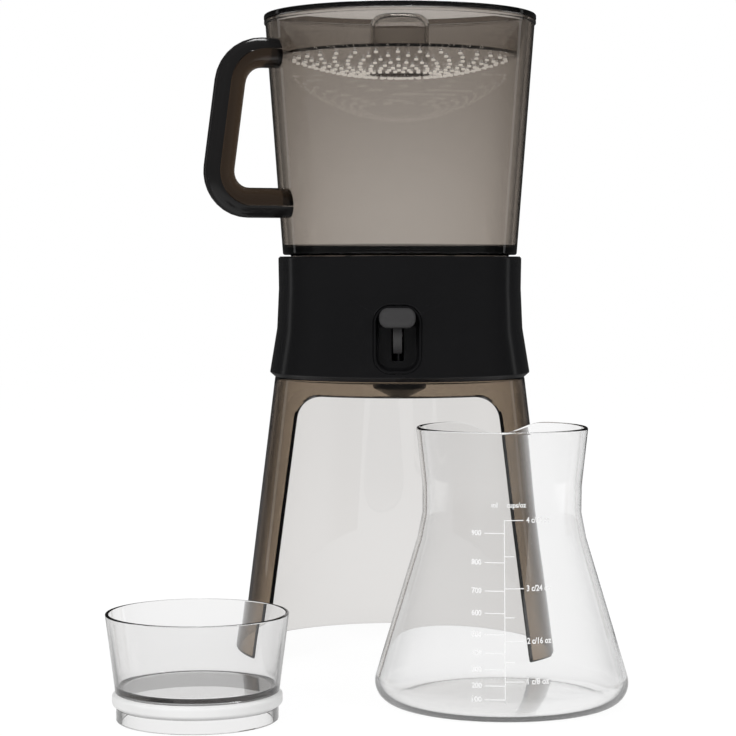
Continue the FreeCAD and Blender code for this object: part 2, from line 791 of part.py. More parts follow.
def lifter_and_rod():
    """The valve lifter: a fork on the crank pin, a boss on the guide rod, an arm and a push pin on the axis."""
    rod_back = -size.rod_reach
    rod_length = deck_under - flange_under
    keep(solid("Cylinder", "guide_rod", 0, rod_back, flange_under, Radius=size.rod_radius, Height=rod_length),
         "guide_rod")
    boss_low = crank_height - size.lifter_boss_height / 2
    boss = solid("Cylinder", "lifter_boss", 0, rod_back, boss_low,
                 Radius=size.lifter_boss_radius, Height=size.lifter_boss_height)
    fork_outer = cheek_inner + size.cheek_wall
    fork_front = crank_back - size.crank_pin_radius - size.fork_lip
    fork = block("lifter_fork", fork_outer, fork_front, rod_back, crank_height - size.cheek_height / 2,
                 crank_height + size.cheek_height / 2)
    arm = block("lifter_arm", size.lifter_arm_half, rod_back, size.push_pin_radius,
                boss_low, boss_low + size.lifter_arm_height)
    pin_low = boss_low + size.lifter_arm_height / 2
    push_pin = solid("Cylinder", "lifter_push_pin", 0, 0, pin_low,
                     Radius=size.push_pin_radius, Height=stem_tip - size.loose_gap - pin_low)
    blank = fused("lifter_blank", boss, fork, arm, push_pin)
    throat = block("lifter_throat", cheek_inner, fork_front - BEYOND, rod_back - size.lifter_boss_radius,
                   crank_height - size.cheek_height, crank_height + size.cheek_height)
    slot_half = size.crank_pin_radius + size.slide_gap
    slot_back = crank_back + size.crank_pin_radius + size.fork_slot_end
    slot = block("lifter_slot", fork_outer + BEYOND, fork_front - BEYOND, slot_back,
                 crank_height - slot_half, crank_height + slot_half)
    bore = solid("Cylinder", "lifter_bore", 0, rod_back, boss_low - BEYOND,
                 Radius=size.rod_radius + size.running_gap, Height=size.lifter_boss_height + BEYOND * 2)
    keep(cut("valve_lifter", blank, fused("lifter_cuts", throat, slot, bore)), "valve_lifter")


def container_shell():
    rim_low = container_base + size.container_height
    wall = size.container_wall
    turned_piece("container", [
        (size.container_foot_radius, container_base),
        (size.container_rim_radius, rim_low),
        (size.container_rim_radius + size.rim_bead_reach, rim_low),
        (size.container_rim_radius + size.rim_bead_reach, container_rim),
        (size.container_rim_radius - wall, container_rim),
        (size.container_foot_radius - wall, chamber_floor),
        (size.well_radius - size.container_floor, chamber_floor - size.floor_fall),
        (size.well_radius - size.container_floor, well_floor),
        (size.neck_bore_radius, well_floor),
        (size.neck_bore_radius, well_under),
        (size.well_radius, well_under),
        (size.well_radius, container_base),
        (size.foot_ring_radius - size.foot_ring_wall, container_base),
        (size.foot_ring_radius - size.foot_ring_wall, deck_top),
        (size.foot_ring_radius, deck_top),
        (size.foot_ring_radius, container_base),
    ])


def container_handle():
    """A rounded bar swept round two bends and trimmed to the container's cone."""
    body = body_named("container_handle")
    place(body, turn=size.handle_turn)
    route = sketch_on(body, "handle_route", "XZ_Plane")
    root = size.container_foot_radius - size.handle_radius
    points = [(root, size.handle_top), (size.handle_top_reach, size.handle_top),
              (size.handle_bottom_reach, size.handle_bottom), (root, size.handle_bottom)]
    bends = {1: size.handle_top_bend, 2: size.handle_bottom_bend}
    draw_route(route, [(-across, up) for across, up in points], bends)
    section = sketch_on(body, "handle_section", "YZ_Plane", -root)
    draw_circle(section, size.handle_radius, 0, size.handle_top)
    pipe = body.newObject("PartDesign::AdditivePipe", "handle_sweep")
    pipe.Profile = section
    pipe.Spine = route
    trim = sketch_on(body, "handle_trim", "XZ_Plane")
    rim_low = container_base + size.container_height
    draw_outline(trim, [
        (0, container_base),
        (size.container_foot_radius, container_base),
        (size.container_rim_radius, rim_low),
        (0, rim_low),
    ])
    groove = body.newObject("PartDesign::Groove", "handle_seat")
    groove.Profile = trim
    groove.ReferenceAxis = (trim, ["V_Axis"])
    groove.Angle = 360


def draw_route(sketch, points, bends):
    """An open route of straight runs with a tangent arc at each bend."""
    corners = [FreeCAD.Vector(across.number, up.number, 0) for across, up in points]
    start = corners[0]
    lines, arcs = [], []
    for i in range(1, len(corners)):
        finish = corners[i]
        if i in bends:
            back = (corners[i - 1] - corners[i]).normalize()
            onward = (corners[i + 1] - corners[i]).normalize()
            half = back.getAngle(onward) / 2
            reach = bends[i].number / math.tan(half)
            finish = corners[i] + back * reach
            after = corners[i] + onward * reach
            middle = (back + onward).normalize()
            crest = corners[i] + middle * (bends[i].number / math.sin(half) - bends[i].number)
        lines.append(sketch.addGeometry(Part.LineSegment(start, finish)))
        if i in bends:
            arcs.append((i, sketch.addGeometry(Part.Arc(finish, crest, after)), finish))
            start = after
    pin_point(sketch, lines[0], 1, *points[0])
    pin_point(sketch, lines[-1], 2, *points[-1])
    for i, arc, arrive in arcs:
        near = 1 if sketch.getPoint(arc, 1).distanceToPoint(arrive) < 1e-6 else 2
        tip = sketch.addGeometry(Part.Point(corners[i]), True)
        pin_point(sketch, tip, 1, *points[i])
        sketch.addConstraint(Sketcher.Constraint("PointOnObject", tip, 1, lines[i - 1]))
        sketch.addConstraint(Sketcher.Constraint("PointOnObject", tip, 1, lines[i]))
        sketch.addConstraint(Sketcher.Constraint("Tangent", lines[i - 1], 2, arc, near))
        sketch.addConstraint(Sketcher.Constraint("Tangent", arc, 3 - near, lines[i], 1))
        radius = sketch.addConstraint(Sketcher.Constraint("Radius", arc, bends[i].number))
        sketch.setExpression(f"Constraints[{radius}]", bends[i].text)


def outlet_fitting():
    """The black fitting in the container's well, its gasket below and its nut above."""
    seat_low = seat_top - size.valve_seat_height
    top = well_floor + size.nut_height + size.thread_past_nut
    spout_bore = size.housing_spout_radius - size.spout_wall
    neck = size.neck_bore_radius - size.slide_gap
    turned_piece("valve_housing", [
        (spout_bore, spout_tip),
        (size.housing_spout_radius, spout_tip),
        (size.housing_spout_radius, housing_flange_under),
        (size.housing_flange_radius, housing_flange_under),
        (size.housing_flange_radius, housing_flange_top),
        (neck, housing_flange_top),
        (neck, top),
        (size.valve_bore, top),
        (size.valve_bore, seat_top),
        (size.valve_seat_radius, seat_top),
        (size.valve_seat_radius, seat_low),
        (spout_bore, seat_low - (spout_bore - size.valve_seat_radius)),
    ])
    turned_piece("housing_gasket", [
        (neck, housing_flange_top),
        (size.housing_flange_radius - size.gasket_inset, housing_flange_top),
        (size.housing_flange_radius - size.gasket_inset, well_under),
        (neck, well_under),
    ])
    nut = solid("Prism", "nut_blank", 0, 0, well_floor, Circumradius=size.nut_across, Height=size.nut_height)
    nut.Polygon = 6
    hole = solid("Cylinder", "nut_hole", 0, 0, well_floor - BEYOND, Radius=neck, Height=size.nut_height + BEYOND * 2)
    keep(cut("housing_nut", nut, hole), "housing_nut")


def valve():
    """The spring-loaded plunger that shuts the outlet, shown shut."""
    seal_top = seat_top + size.valve_seal_height
    head_top = seal_top + size.valve_head_height
    spring_top = head_top + size.spring_height
    retainer_top = spring_top + size.retainer_height
    stem = size.valve_stem_radius
    head = size.valve_seal_radius - size.valve_head_inset
    turned_piece("valve_stem", [
        (0, stem_tip),
        (stem, stem_tip),
        (stem, seal_top),
        (head, seal_top),
        (head, head_top),
        (stem, head_top),
        (stem, retainer_top + size.stem_past_retainer),
        (0, retainer_top + size.stem_past_retainer),
    ])
    turned_piece("valve_seal", [
        (stem, seat_top),
        (size.valve_seal_radius, seat_top),
        (size.valve_seal_radius, seal_top),
        (stem, seal_top),
    ])
    body = turned_piece("valve_retainer", [
        (stem + size.slide_gap, spring_top),
        (size.valve_bore, spring_top),
        (size.valve_bore, retainer_top),
        (stem + size.slide_gap, retainer_top),
    ])
    # Drain holes let the brew through
    holes = sketch_on(body, "drain_hole", "XY_Plane", spring_top)
    draw_circle(holes, size.drain_radius, size.drain_circle_radius, 0)
    drain = cut_through(body, holes, "drain_hole_cut", both=True)
    around(body, drain, "drain_holes", size.drain_count)
    spring(head_top, spring_top)


def spring(low, high):
    """One unbroken coil between the plunger's head and the retainer, lofted through small six-sided sections."""
    wire = SIZES["spring_wire"]
    coil_radius = SIZES["spring_radius"]
    bottom = low.number + wire
    rise = high.number - wire - bottom
    count = SPRING_STEPS * int(round(SIZES["spring_turns"]))
    sections = []
    for step in range(count + 1):
        angle = 2 * math.pi * step / SPRING_STEPS
        out = FreeCAD.Vector(math.cos(angle), math.sin(angle), 0)
        middle = out * coil_radius + FreeCAD.Vector(0, 0, bottom + rise * step / count)
        ring = []
        for corner in range(7):
            lean = math.pi / 3 * corner
            ring.append(middle + out * (wire * math.cos(lean)) + FreeCAD.Vector(0, 0, wire * math.sin(lean)))
        sections.append(Part.makePolygon(ring))
    coil = doc.addObject("Part::Feature", "valve_spring")
    coil.Shape = Part.makeLoft(sections, True, True)
    keep(coil, "valve_spring")


def mesh_filter():
    """The lift-out filter in the well: a rim with spokes and a grip, crowned mesh and a soft rim seal."""
    low = well_floor
    high = low + size.filter_rim_height
    inner = size.filter_radius - size.filter_rim_width
    mesh_low = low + size.filter_mesh_rise
    gasket_in = size.filter_radius - size.filter_gasket_depth
    gasket_low = low + size.filter_gasket_rise
    gasket_high = gasket_low + size.filter_gasket_height
    frame = body_named("filter_frame")
    turned(frame, [
        (inner, low),
        (size.filter_radius, low),
        (size.filter_radius, gasket_low),
        (gasket_in, gasket_low),
        (gasket_in, gasket_high),
        (size.filter_radius, gasket_high),
        (size.filter_radius, high),
        (inner, high),
    ])
    half = size.filter_spoke_width / 2
    crown = size.filter_mesh_thickness + size.filter_crown
    for number in range(2):
        sketch = sketch_on(frame, f"spoke_{number}", "XY_Plane", mesh_low + crown)
        reach = inner + size.filter_rim_width / 2
        ends = (reach, half) if number == 0 else (half, reach)
        draw_outline(sketch, [
            (ends[0], ends[1]), (-ends[0], ends[1]), (-ends[0], -ends[1]), (ends[0], -ends[1])])
        spoke = frame.newObject("PartDesign::Pad", f"spoke_pad_{number}")
        spoke.Profile = sketch
        bind(spoke, "Length", high - mesh_low - crown)
    grip = sketch_on(frame, "filter_grip", "XY_Plane", mesh_low + crown)
    draw_circle(grip, size.filter_grip_radius)
    knob = frame.newObject("PartDesign::Pad", "filter_grip_pad")
    knob.Profile = grip
    bind(knob, "Length", high - mesh_low - crown + size.filter_grip_height)
    turned_piece("filter_mesh", [
        (0, mesh_low + size.filter_crown),
        (inner, mesh_low),
        (inner, mesh_low + size.filter_mesh_thickness),
        (0, mesh_low + crown),
    ])
    turned_piece("filter_gasket", [
        (gasket_in, gasket_low),
        (size.filter_radius, gasket_low),
        (size.filter_radius + size.filter_gasket_bulge, (gasket_low + gasket_high) / 2),
        (size.filter_radius, gasket_high),
        (gasket_in, gasket_high),
    ])


def rainmaker():
    """The rainmaker's rim and sloping wall, its dished plate with rings of holes, and the hollow grip on the plate."""
    top = container_rim + size.rain_flange_height
    plate_edge = top - size.rain_depth - size.rain_flange_height
    inner_mouth = size.container_rim_radius - size.container_wall - size.rain_wall_gap
    wall = size.rain_wall
    turned_piece("rainmaker_rim", [
        (inner_mouth, container_rim),
        (size.rain_flange_radius, container_rim),
        (size.rain_flange_radius, top - size.rain_flange_edge),
        (size.rain_flange_radius - size.rain_flange_edge, top),
        (inner_mouth - wall, top),
        (inner_mouth - wall, container_rim),
        (size.rain_plate_radius, plate_edge + size.rain_plate_thickness),
        (size.rain_plate_radius, plate_edge),
        (size.rain_plate_radius + wall, plate_edge),
    ])
    grip = size.rain_grip_radius
    thick = size.rain_plate_thickness
    dish_low = plate_edge - size.rain_dish
    dish_high = dish_low + thick
    grip_top = top - size.rain_grip_below_rim
    foot, crown, peak = (grip, dish_high), (grip, grip_top), (0, grip_top)
    turned_piece("rainmaker_grip", [
        foot,
        *round_corners(foot, crown, peak, size.rain_grip_rounding, 3),
        peak,
        (0, grip_top - thick),
        (grip - size.rain_grip_rounding, grip_top - thick),
        (grip - thick, grip_top - size.rain_grip_rounding),
        (grip - thick, dish_high),
    ])
    body = turned_piece("rainmaker_plate", [
        (size.rain_plate_radius, plate_edge),
        (size.rain_plate_radius, plate_edge + thick),
        (grip, dish_high),
        (grip - thick, dish_high),
        (grip - thick, dish_low),
        (grip, dish_low),
    ])
    span = SIZES["rain_plate_radius"] - SIZES["rain_ring_margin"] - SIZES["rain_ring_first"]
    for ring in range(1 + math.floor(span / SIZES["rain_ring_step"])):
        radius = size.rain_ring_first + size.rain_ring_step * ring
        count = size.rain_holes_first + size.rain_holes_step * ring
        sketch = sketch_on(body, f"rain_ring_{ring}", "XY_Plane", top)
        hexagon(sketch, size.rain_hole_radius, radius)
        drilled = cut_through(body, sketch, f"rain_ring_{ring}_cut", both=True)
        around(body, drilled, f"rain_ring_{ring}_holes", count)


def hexagon(sketch, radius, across):
    """A six-sided hole centred on the sketch's horizontal axis."""
    rise = math.sqrt(0.75)
    draw_outline(sketch, [
        (across + radius, 0),
        (across + radius / 2, radius * rise),
        (across - radius / 2, radius * rise),
        (across - radius, 0),
        (across - radius / 2, -(radius * rise)),
        (across + radius / 2, -(radius * rise)),
    ])


def carafe():
    """The glass carafe: a cone with a rounded foot, a waisted neck and a pouring dip at the back of its rim."""
    wall = size.carafe_wall
    top = size.carafe_height
    foot = (size.carafe_foot_radius, 0)
    waist = (size.carafe_waist_radius, size.carafe_waist_height)
    rim = (size.carafe_rim_radius, top)
    foot_inside = (foot[0] - wall, wall)
    waist_inside = (waist[0] - wall, waist[1])
    rim_inside = (size.carafe_rim_radius - wall, top)
    blank = doc.addObject("PartDesign::Body", "carafe_blank")
    turned(blank, [
        (0, 0),
        *round_corners((0, 0), foot, waist, size.carafe_foot_rounding, 4),
        *round_corners(foot, waist, rim, size.carafe_waist_rounding, 3),
        rim,
        rim_inside,
        *round_corners(rim_inside, waist_inside, foot_inside, size.carafe_waist_rounding + wall, 2),
        *round_corners(waist_inside, foot_inside, (0, wall), size.carafe_foot_rounding - wall, 3),
        (0, wall),
    ])
    dip = doc.addObject("Part::Cylinder", "carafe_spout_cut")
    dip.Placement = FreeCAD.Placement(FreeCAD.Vector(), FreeCAD.Rotation(FreeCAD.Vector(1, 0, 0), 90))
    bind(dip, "Radius", size.carafe_spout_rounding)
    bind(dip, "Height", size.carafe_foot_radius)
    bind(dip, "Placement.Base.y", size.carafe_foot_radius)
    bind(dip, "Placement.Base.z", top - size.carafe_spout_dip + size.carafe_spout_rounding)
    glass = cut("carafe_glass", blank, dip)
    place(glass, size.carafe_right, -size.carafe_forward)
    keep(glass, "carafe_glass")


def measuring_cup():
    """The cup that measures the coffee and stops the carafe: its hollow foot carries a white sealing ring."""
    wall = size.cup_wall
    seal_top = size.seal_rise + size.seal_height
    groove = size.cup_foot_radius - size.seal_groove
    cup = turned_piece("measuring_cup", [
        (size.cup_foot_radius - wall - size.seal_groove, 0),
        (size.cup_foot_radius, 0),
        (size.cup_foot_radius, size.seal_rise),
        (groove, size.seal_rise),
        (groove, seal_top),
        (size.cup_waist_radius, seal_top),
        (size.cup_rim_radius, size.cup_height),
        (size.cup_rim_radius - wall, size.cup_height),
        (size.cup_waist_radius - wall, size.cup_floor_height + wall),
        (0, size.cup_floor_height + wall),
        (0, size.cup_floor_height),
        (size.cup_foot_radius - wall - size.seal_groove, size.cup_floor_height),
    ])
    reach = size.cup_foot_radius + size.seal_reach
    seal_middle = size.seal_rise + size.seal_height / 2
    seal = turned_piece("cup_seal", [
        (groove, size.seal_rise),
        (size.cup_foot_radius, size.seal_rise),
        (reach, seal_middle - size.seal_crown_height / 2),
        (reach, seal_middle + size.seal_crown_height / 2),
        (size.cup_foot_radius, seal_top),
        (groove, seal_top),
    ])
    for piece in (cup, seal):
        place(piece, -size.cup_left, -size.cup_forward)


stand_shell()
collar_shell()
collar_deck()
collar_base()
deck_screws()
drip_funnel()
switch_bezel()
brew_lever()
lifter_and_rod()
container_shell()
container_handle()
outlet_fitting()
valve()
mesh_filter()
rainmaker()
carafe()
measuring_cup()
doc.recompute()

faults = [f"{item.Label}: {item.State}" for item in doc.Objects
          if "Invalid" in item.State or "Error" in item.State]
faults += [f"{piece.Label}: no valid shape" for piece in pieces
           if piece.Shape.isNull() or not piece.Shape.isValid() or not piece.Shape.Solids]
if faults:
    raise SystemExit("\n".join(faults))
os.makedirs("parts", exist_ok=True)
for piece in pieces:
    piece.Shape.exportStep(os.path.join("parts", piece.Label + ".step"))
    print(piece.Label, len(piece.Shape.Solids), round(piece.Shape.Volume, 1))
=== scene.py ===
import math

import bmesh
import bpy
from mathutils import Matrix, Vector


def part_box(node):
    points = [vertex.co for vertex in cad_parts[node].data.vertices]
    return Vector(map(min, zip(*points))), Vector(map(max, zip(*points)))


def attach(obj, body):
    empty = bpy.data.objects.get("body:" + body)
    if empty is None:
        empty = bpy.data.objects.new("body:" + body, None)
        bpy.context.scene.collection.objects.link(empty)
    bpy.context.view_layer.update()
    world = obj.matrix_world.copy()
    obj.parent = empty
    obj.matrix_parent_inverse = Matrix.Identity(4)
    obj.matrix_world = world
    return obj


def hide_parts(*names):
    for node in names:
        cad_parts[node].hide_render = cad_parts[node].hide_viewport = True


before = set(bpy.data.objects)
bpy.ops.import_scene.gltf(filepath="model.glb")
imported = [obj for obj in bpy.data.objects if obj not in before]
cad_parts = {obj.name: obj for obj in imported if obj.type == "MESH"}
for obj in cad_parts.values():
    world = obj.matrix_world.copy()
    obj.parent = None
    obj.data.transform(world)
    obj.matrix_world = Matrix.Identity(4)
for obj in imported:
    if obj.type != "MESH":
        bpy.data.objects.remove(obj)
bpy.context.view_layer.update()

# The looks of a drip-tower cold brew coffee maker. Metres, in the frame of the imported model: the tower stands on the
# origin, +Z is up, the switch faces -Y and the handle lies towards -X.

MM = 0.001
TURN_STEPS = 192


def box_of(node):
    return [Vector(corner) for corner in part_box(node)]


# Places and sizes that several pieces share, read from the frame
_, stand_high = box_of("stand_shell")
collar_low, collar_high = box_of("collar_shell")
container_low, container_high = box_of("container")
rim_low, rim_high = box_of("rainmaker_rim")
plate_low, plate_high = box_of("rainmaker_plate")
_, grip_high = box_of("rainmaker_grip")
carafe_low, carafe_high = box_of("carafe_glass")
cup_low, cup_high = box_of("measuring_cup")
seal_low, seal_high = box_of("cup_seal")
bezel_low, bezel_high = box_of("switch_bezel")
knob_low, knob_high = box_of("lever_knob")
funnel_low, funnel_high = box_of("drip_funnel")
shoulder_height = collar_low.z
carafe_axis = ((carafe_low.x + carafe_high.x) / 2, (carafe_low.y + carafe_high.y) / 2)
cup_axis = ((cup_low.x + cup_high.x) / 2, (cup_low.y + cup_high.y) / 2)


# Outlines and meshes


def tangent_arc(before, corner, after, rounding, step=math.radians(11)):
    """The points of the arc that rounds a corner between its two neighbours."""
    here = Vector(corner[:2])
    back = (Vector(before[:2]) - here).normalized()
    onward = (Vector(after[:2]) - here).normalized()
    half = back.angle(onward) / 2
    turn = math.pi - 2 * half
    middle = (back + onward).normalized()
    side = (onward - back).normalized()
    centre = here + middle * (rounding / math.sin(half))
    count = max(2, round(turn / step))
    angles = [turn * (i / count - 0.5) for i in range(count + 1)]
    return [tuple(centre + (side * math.sin(a) - middle * math.cos(a)) * rounding) for a in angles]


def rounded(corners, closed=True):
    """An outline of (across, up) or (across, up, rounding) corners, with its rounded corners drawn as arcs."""
    points = []
    count = len(corners)
    for i, corner in enumerate(corners):
        at_end = not closed and i in (0, count - 1)
        if len(corner) == 2 or at_end:
            points.append(tuple(corner[:2]))
        else:
            points += tangent_arc(corners[i - 1], corner, corners[(i + 1) % count], corner[2])
    return points


def divided(points, pieces):
    """Points added to a row of points, so that each run has as many pieces as a function of it says."""
    result = [Vector(points[0])]
    for first, second in zip(points, points[1:]):
        run = Vector(second) - Vector(first)
        count = max(1, pieces(run))
        result += [Vector(first) + run * i / count for i in range(1, count + 1)]
    return result


def radius_at(points, height):
    """The radius at a height on an outline of (radius, height) points."""
    for (r1, z1), (r2, z2) in zip(points, points[1:]):
        if min(z1, z2) <= height <= max(z1, z2) and z1 != z2:
            return r1 + (r2 - r1) * (height - z1) / (z2 - z1)
    return min(points, key=lambda p: abs(p[1] - height))[0]


def link(data, name):
    piece = bpy.data.objects.new(name, data)
    bpy.context.scene.collection.objects.link(piece)
    return piece


def mesh_of(work, name):
    mesh = bpy.data.meshes.new(name)
    work.to_mesh(mesh)
    work.free()
    return mesh


def finish_mesh(work, name, sharp=38):
    """Turn a bmesh into a smooth-shaded object whose flat faces stay flat beside small roundings. Edges are sharp
    from an angle in degrees."""
    bmesh.ops.remove_doubles(work, verts=work.verts, dist=1e-7)
    bmesh.ops.recalc_face_normals(work, faces=work.faces)
    mesh = mesh_of(work, name)
    mesh.polygons.foreach_set("use_smooth", [True] * len(mesh.polygons))
    mesh.set_sharp_from_angle(angle=math.radians(sharp))
    piece = link(mesh, name)
    weighted = piece.modifiers.new("flat_faces_first", "WEIGHTED_NORMAL")
    weighted.keep_sharp = True
    weighted.weight = 60
    return piece


def polar(radius, angle, height):
    """A point at an angle from the front about the tower's axis."""
    return radius * math.sin(angle), -radius * math.cos(angle), height


def ring(work, count, place):
    """A closed ring of vertices, each placed by its share of the turn."""
    return [work.verts.new(place(2 * math.pi * i / count)) for i in range(count)]


def bridge(work, first, second):
    """Quads between two closed rings with as many vertices each."""
    count = len(first)
    for i in range(count):
        j = (i + 1) % count
        corners = [first[i], first[j], second[j], second[i]]
        if len(set(corners)) > 2:
            work.faces.new(list(dict.fromkeys(corners)))


def bridge_rings(work, rings, closed=False):
    """Quads between each ring and the next, and round to the first if it is closed."""
    for first, second in zip(rings, rings[1:] + rings[:closed]):
        bridge(work, first, second)


def strip(work, first, second):
    """Quads between two open rows with as many vertices each."""
    for i in range(len(first) - 1):
        work.faces.new([first[i], first[i + 1], second[i + 1], second[i]])


def lathe(name, corners, centre=(0, 0), steps=TURN_STEPS):
    """A solid turned from a closed outline of (radius, height, rounding) corners about a vertical axis."""
    work = bmesh.new()
    rings = []
    for radius, height in rounded(corners):
        if radius < 1e-6:
            rings.append([work.verts.new((centre[0], centre[1], height))] * steps)
            continue
        rings.append(ring(work, steps, lambda a: Vector(polar(radius, a, height)) + Vector((*centre, 0))))
    for i in range(len(rings)):
        after = rings[(i + 1) % len(rings)]
        if rings[i][0] is rings[i][1] and after[0] is after[1]:
            continue
        bridge(work, rings[i], after)
    return finish_mesh(work, name)


def rounded_loop(half_width, half_height, rounding, count, centre=(0, 0)):
    """Evenly spaced points round a rounded rectangle, from the middle of its right side, anticlockwise."""
    rounding = min(rounding, half_width, half_height)
    straight_w, straight_h = half_width - rounding, half_height - rounding
    quarter = math.pi / 2 * rounding
    runs = [straight_h, quarter, 2 * straight_w, quarter, 2 * straight_h, quarter, 2 * straight_w, quarter, straight_h]
    total = sum(runs)
    points = []
    for i in range(count):
        left = total * i / count
        run = 0
        while left > runs[run] and run < len(runs) - 1:
            left -= runs[run]
            run += 1
        if run in (1, 3, 5, 7):
            angle = (run // 2) * math.pi / 2 + left / rounding
            cx = straight_w if run in (1, 7) else -straight_w
            cy = straight_h if run in (1, 3) else -straight_h
            spot = (cx + rounding * math.cos(angle), cy + rounding * math.sin(angle))
        else:
            spot = {0: (half_width, left), 2: (straight_w - left, half_height), 4: (-half_width, straight_h - left),
                    6: (left - straight_w, -half_height), 8: (half_width, left - straight_h)}[run]
        points.append((centre[0] + spot[0], centre[1] + spot[1]))
    return points


# Materials


def feed(tree, node, inputs):
    """Link a node's inputs to outputs, or set them to values."""
    for name, value in inputs.items():
        socket = node.inputs[name]
        if isinstance(value, bpy.types.NodeSocket):
            tree.links.new(value, socket)
        elif socket.type == "RGBA":
            socket.default_value = (*value, 1)
        else:
            socket.default_value = value


def fed(tree, kind, output, inputs, **settings):
    """An output of a new node with its settings and its inputs."""
    node = tree.nodes.new(kind)
    for name, value in settings.items():
        setattr(node, name, value)
    feed(tree, node, inputs)
    return node.outputs[output]


def fresh_tree(block, kind):
    """The empty node tree of a material or world, and its output node."""
    block.use_nodes = True
    block.node_tree.nodes.clear()
    return block.node_tree, block.node_tree.nodes.new(kind)


def new_material(name):
    material = bpy.data.materials.new(name)
    tree, output = fresh_tree(material, "ShaderNodeOutputMaterial")
    shader = tree.nodes.new("ShaderNodeBsdfPrincipled")
    feed(tree, output, {"Surface": shader.outputs["BSDF"]})
    return material, tree, shader, output


def object_coordinates(tree):
    return tree.nodes.new("ShaderNodeTexCoord").outputs["Object"]


def noise(tree, scale, detail=2.0, roughness=0.5, stretch=None):
    """A noise texture in the piece's own coordinates, in features per metre."""
    source = object_coordinates(tree)
    if stretch:
        source = fed(tree, "ShaderNodeMapping", "Vector", {"Vector": source, "Scale": stretch})
    return fed(tree, "ShaderNodeTexNoise", "Fac",
               {"Vector": source, "Scale": scale, "Detail": detail, "Roughness": roughness})


def ranged(tree, value, low, high):
    """Map a 0 to 1 value to a range."""
    return fed(tree, "ShaderNodeMapRange", "Result", {"Value": value, "To Min": low, "To Max": high})


def share_between(tree, value, start, end):
    """0 to 1, softly, as a value goes from one number to another."""
    return fed(tree, "ShaderNodeMapRange", "Result", {"Value": value, "From Min": start, "From Max": end},
               interpolation_type="SMOOTHSTEP")


def along(tree, axis, start, end):
    """0 to 1 between two places on an axis of the piece."""
    place = fed(tree, "ShaderNodeSeparateXYZ", axis, {"Vector": object_coordinates(tree)})
    return share_between(tree, place, start, end)


def at_edges(tree, start, end):
    """0 to 1 as the wall turns away from the eye, for painted edge shade."""
    return share_between(tree, fed(tree, "ShaderNodeLayerWeight", "Facing", {"Blend": 0.5}), start, end)


def between(tree, factor, first, second):
    """A colour between two colours, or node outputs."""
    return fed(tree, "ShaderNodeMix", "Result", {"Factor": factor, "A": first, "B": second}, data_type="RGBA")


def bump(tree, shader, height, distance):
    normal = fed(tree, "ShaderNodeBump", "Normal", {"Strength": 1, "Distance": distance, "Height": height})
    feed(tree, shader, {"Normal": normal})


def clear_material(name, ior, tint, density, waviness, color=None, polish=(0.0, 0.02)):
    """Clear plastic or glass: polished, with the slow waviness of a moulded or blown wall and faint wipe marks. Its
    tint deepens with the length of plastic or glass that light crosses."""
    material, tree, shader, output = new_material(name)
    smears = noise(tree, 60, 3, 0.55, (1, 1, 0.25))
    feed(tree, shader, {"Base Color": color(tree) if color else (1, 1, 1), "Transmission Weight": 1, "IOR": ior,
                        "Roughness": ranged(tree, smears, *polish)})
    bump(tree, shader, noise(tree, 28, 1), waviness)
    feed(tree, output, {"Volume": fed(tree, "ShaderNodeVolumeAbsorption", "Volume",
                                      {"Color": tint, "Density": density})})
    return material


def stand_color(tree):
    """Painted shade: deeper in the front half, over the legs and brow, and dark where the wall turns away from the eye.
    """
    body = between(tree, along(tree, "Y", -30 * MM, 25 * MM), STAND_FRONT_SHADE, STAND_BACK)
    return between(tree, at_edges(tree, 0.55, 0.85), body, STAND_EDGE_SHADE)


def vessel_color(tree):
    """A little deeper towards the rim, and dark with painted shade where the wall turns away from the eye."""
    body = between(tree, along(tree, "Z", 250 * MM, 370 * MM), VESSEL_LOW, VESSEL_TOP)
    return between(tree, at_edges(tree, 0.6, 0.85), body, VESSEL_EDGE_SHADE)


def band_color(tree):
    """Painted shade: nearly black in front, where the rim's thick moulding is seen edge on, and paler at the back."""
    return between(tree, along(tree, "Y", -20 * MM, 60 * MM), BAND_FRONT_SHADE, BAND_BACK)


def grained_material(name, color, shades, drift, marks, polish, grain=None, grain_depth=0.00001, more=None):
    """An opaque material: two shades of a colour under one noise, uneven polish under a second and grain in a third."""
    material, tree, shader, _ = new_material(name)
    pair = [tuple(min(1, c * shade) for c in color) for shade in shades]
    feed(tree, shader, {"Base Color": between(tree, noise(tree, *drift), *pair),
                        "Roughness": ranged(tree, noise(tree, *marks), *polish), **(more or {})})
    if grain:
        bump(tree, shader, noise(tree, *grain), grain_depth)
    return material


def moulded_material(name, color, roughness, spread, grain, grain_depth, specular):
    """Opaque moulded plastic: fine grain, slow shade drift and uneven polish."""
    return grained_material(name, color, (0.86, 1.14), (25, 3), (140, 4, 0.6, (1, 1, 0.3)),
                            (roughness, roughness + spread), (grain, 2), grain_depth, {"Specular IOR Level": specular})


def silicone_material(name, color, roughness=0.42, more=None):
    """Soft silicone: satin skin with a powdery grain."""
    return grained_material(name, color, (0.95, 1.03), (90, 3), (700, 2), (roughness, roughness + 0.12), (2500, 2),
                            more=more)


def steel_material(name, color, stretch, roughness=0.22):
    """Turned or drawn stainless steel with fine lines along its making."""
    lines = (900, 3, 0.6, stretch)
    return grained_material(name, color, (0.85, 1), lines, lines, (roughness, roughness + 0.15), lines,
                            more={"Metallic": 1})


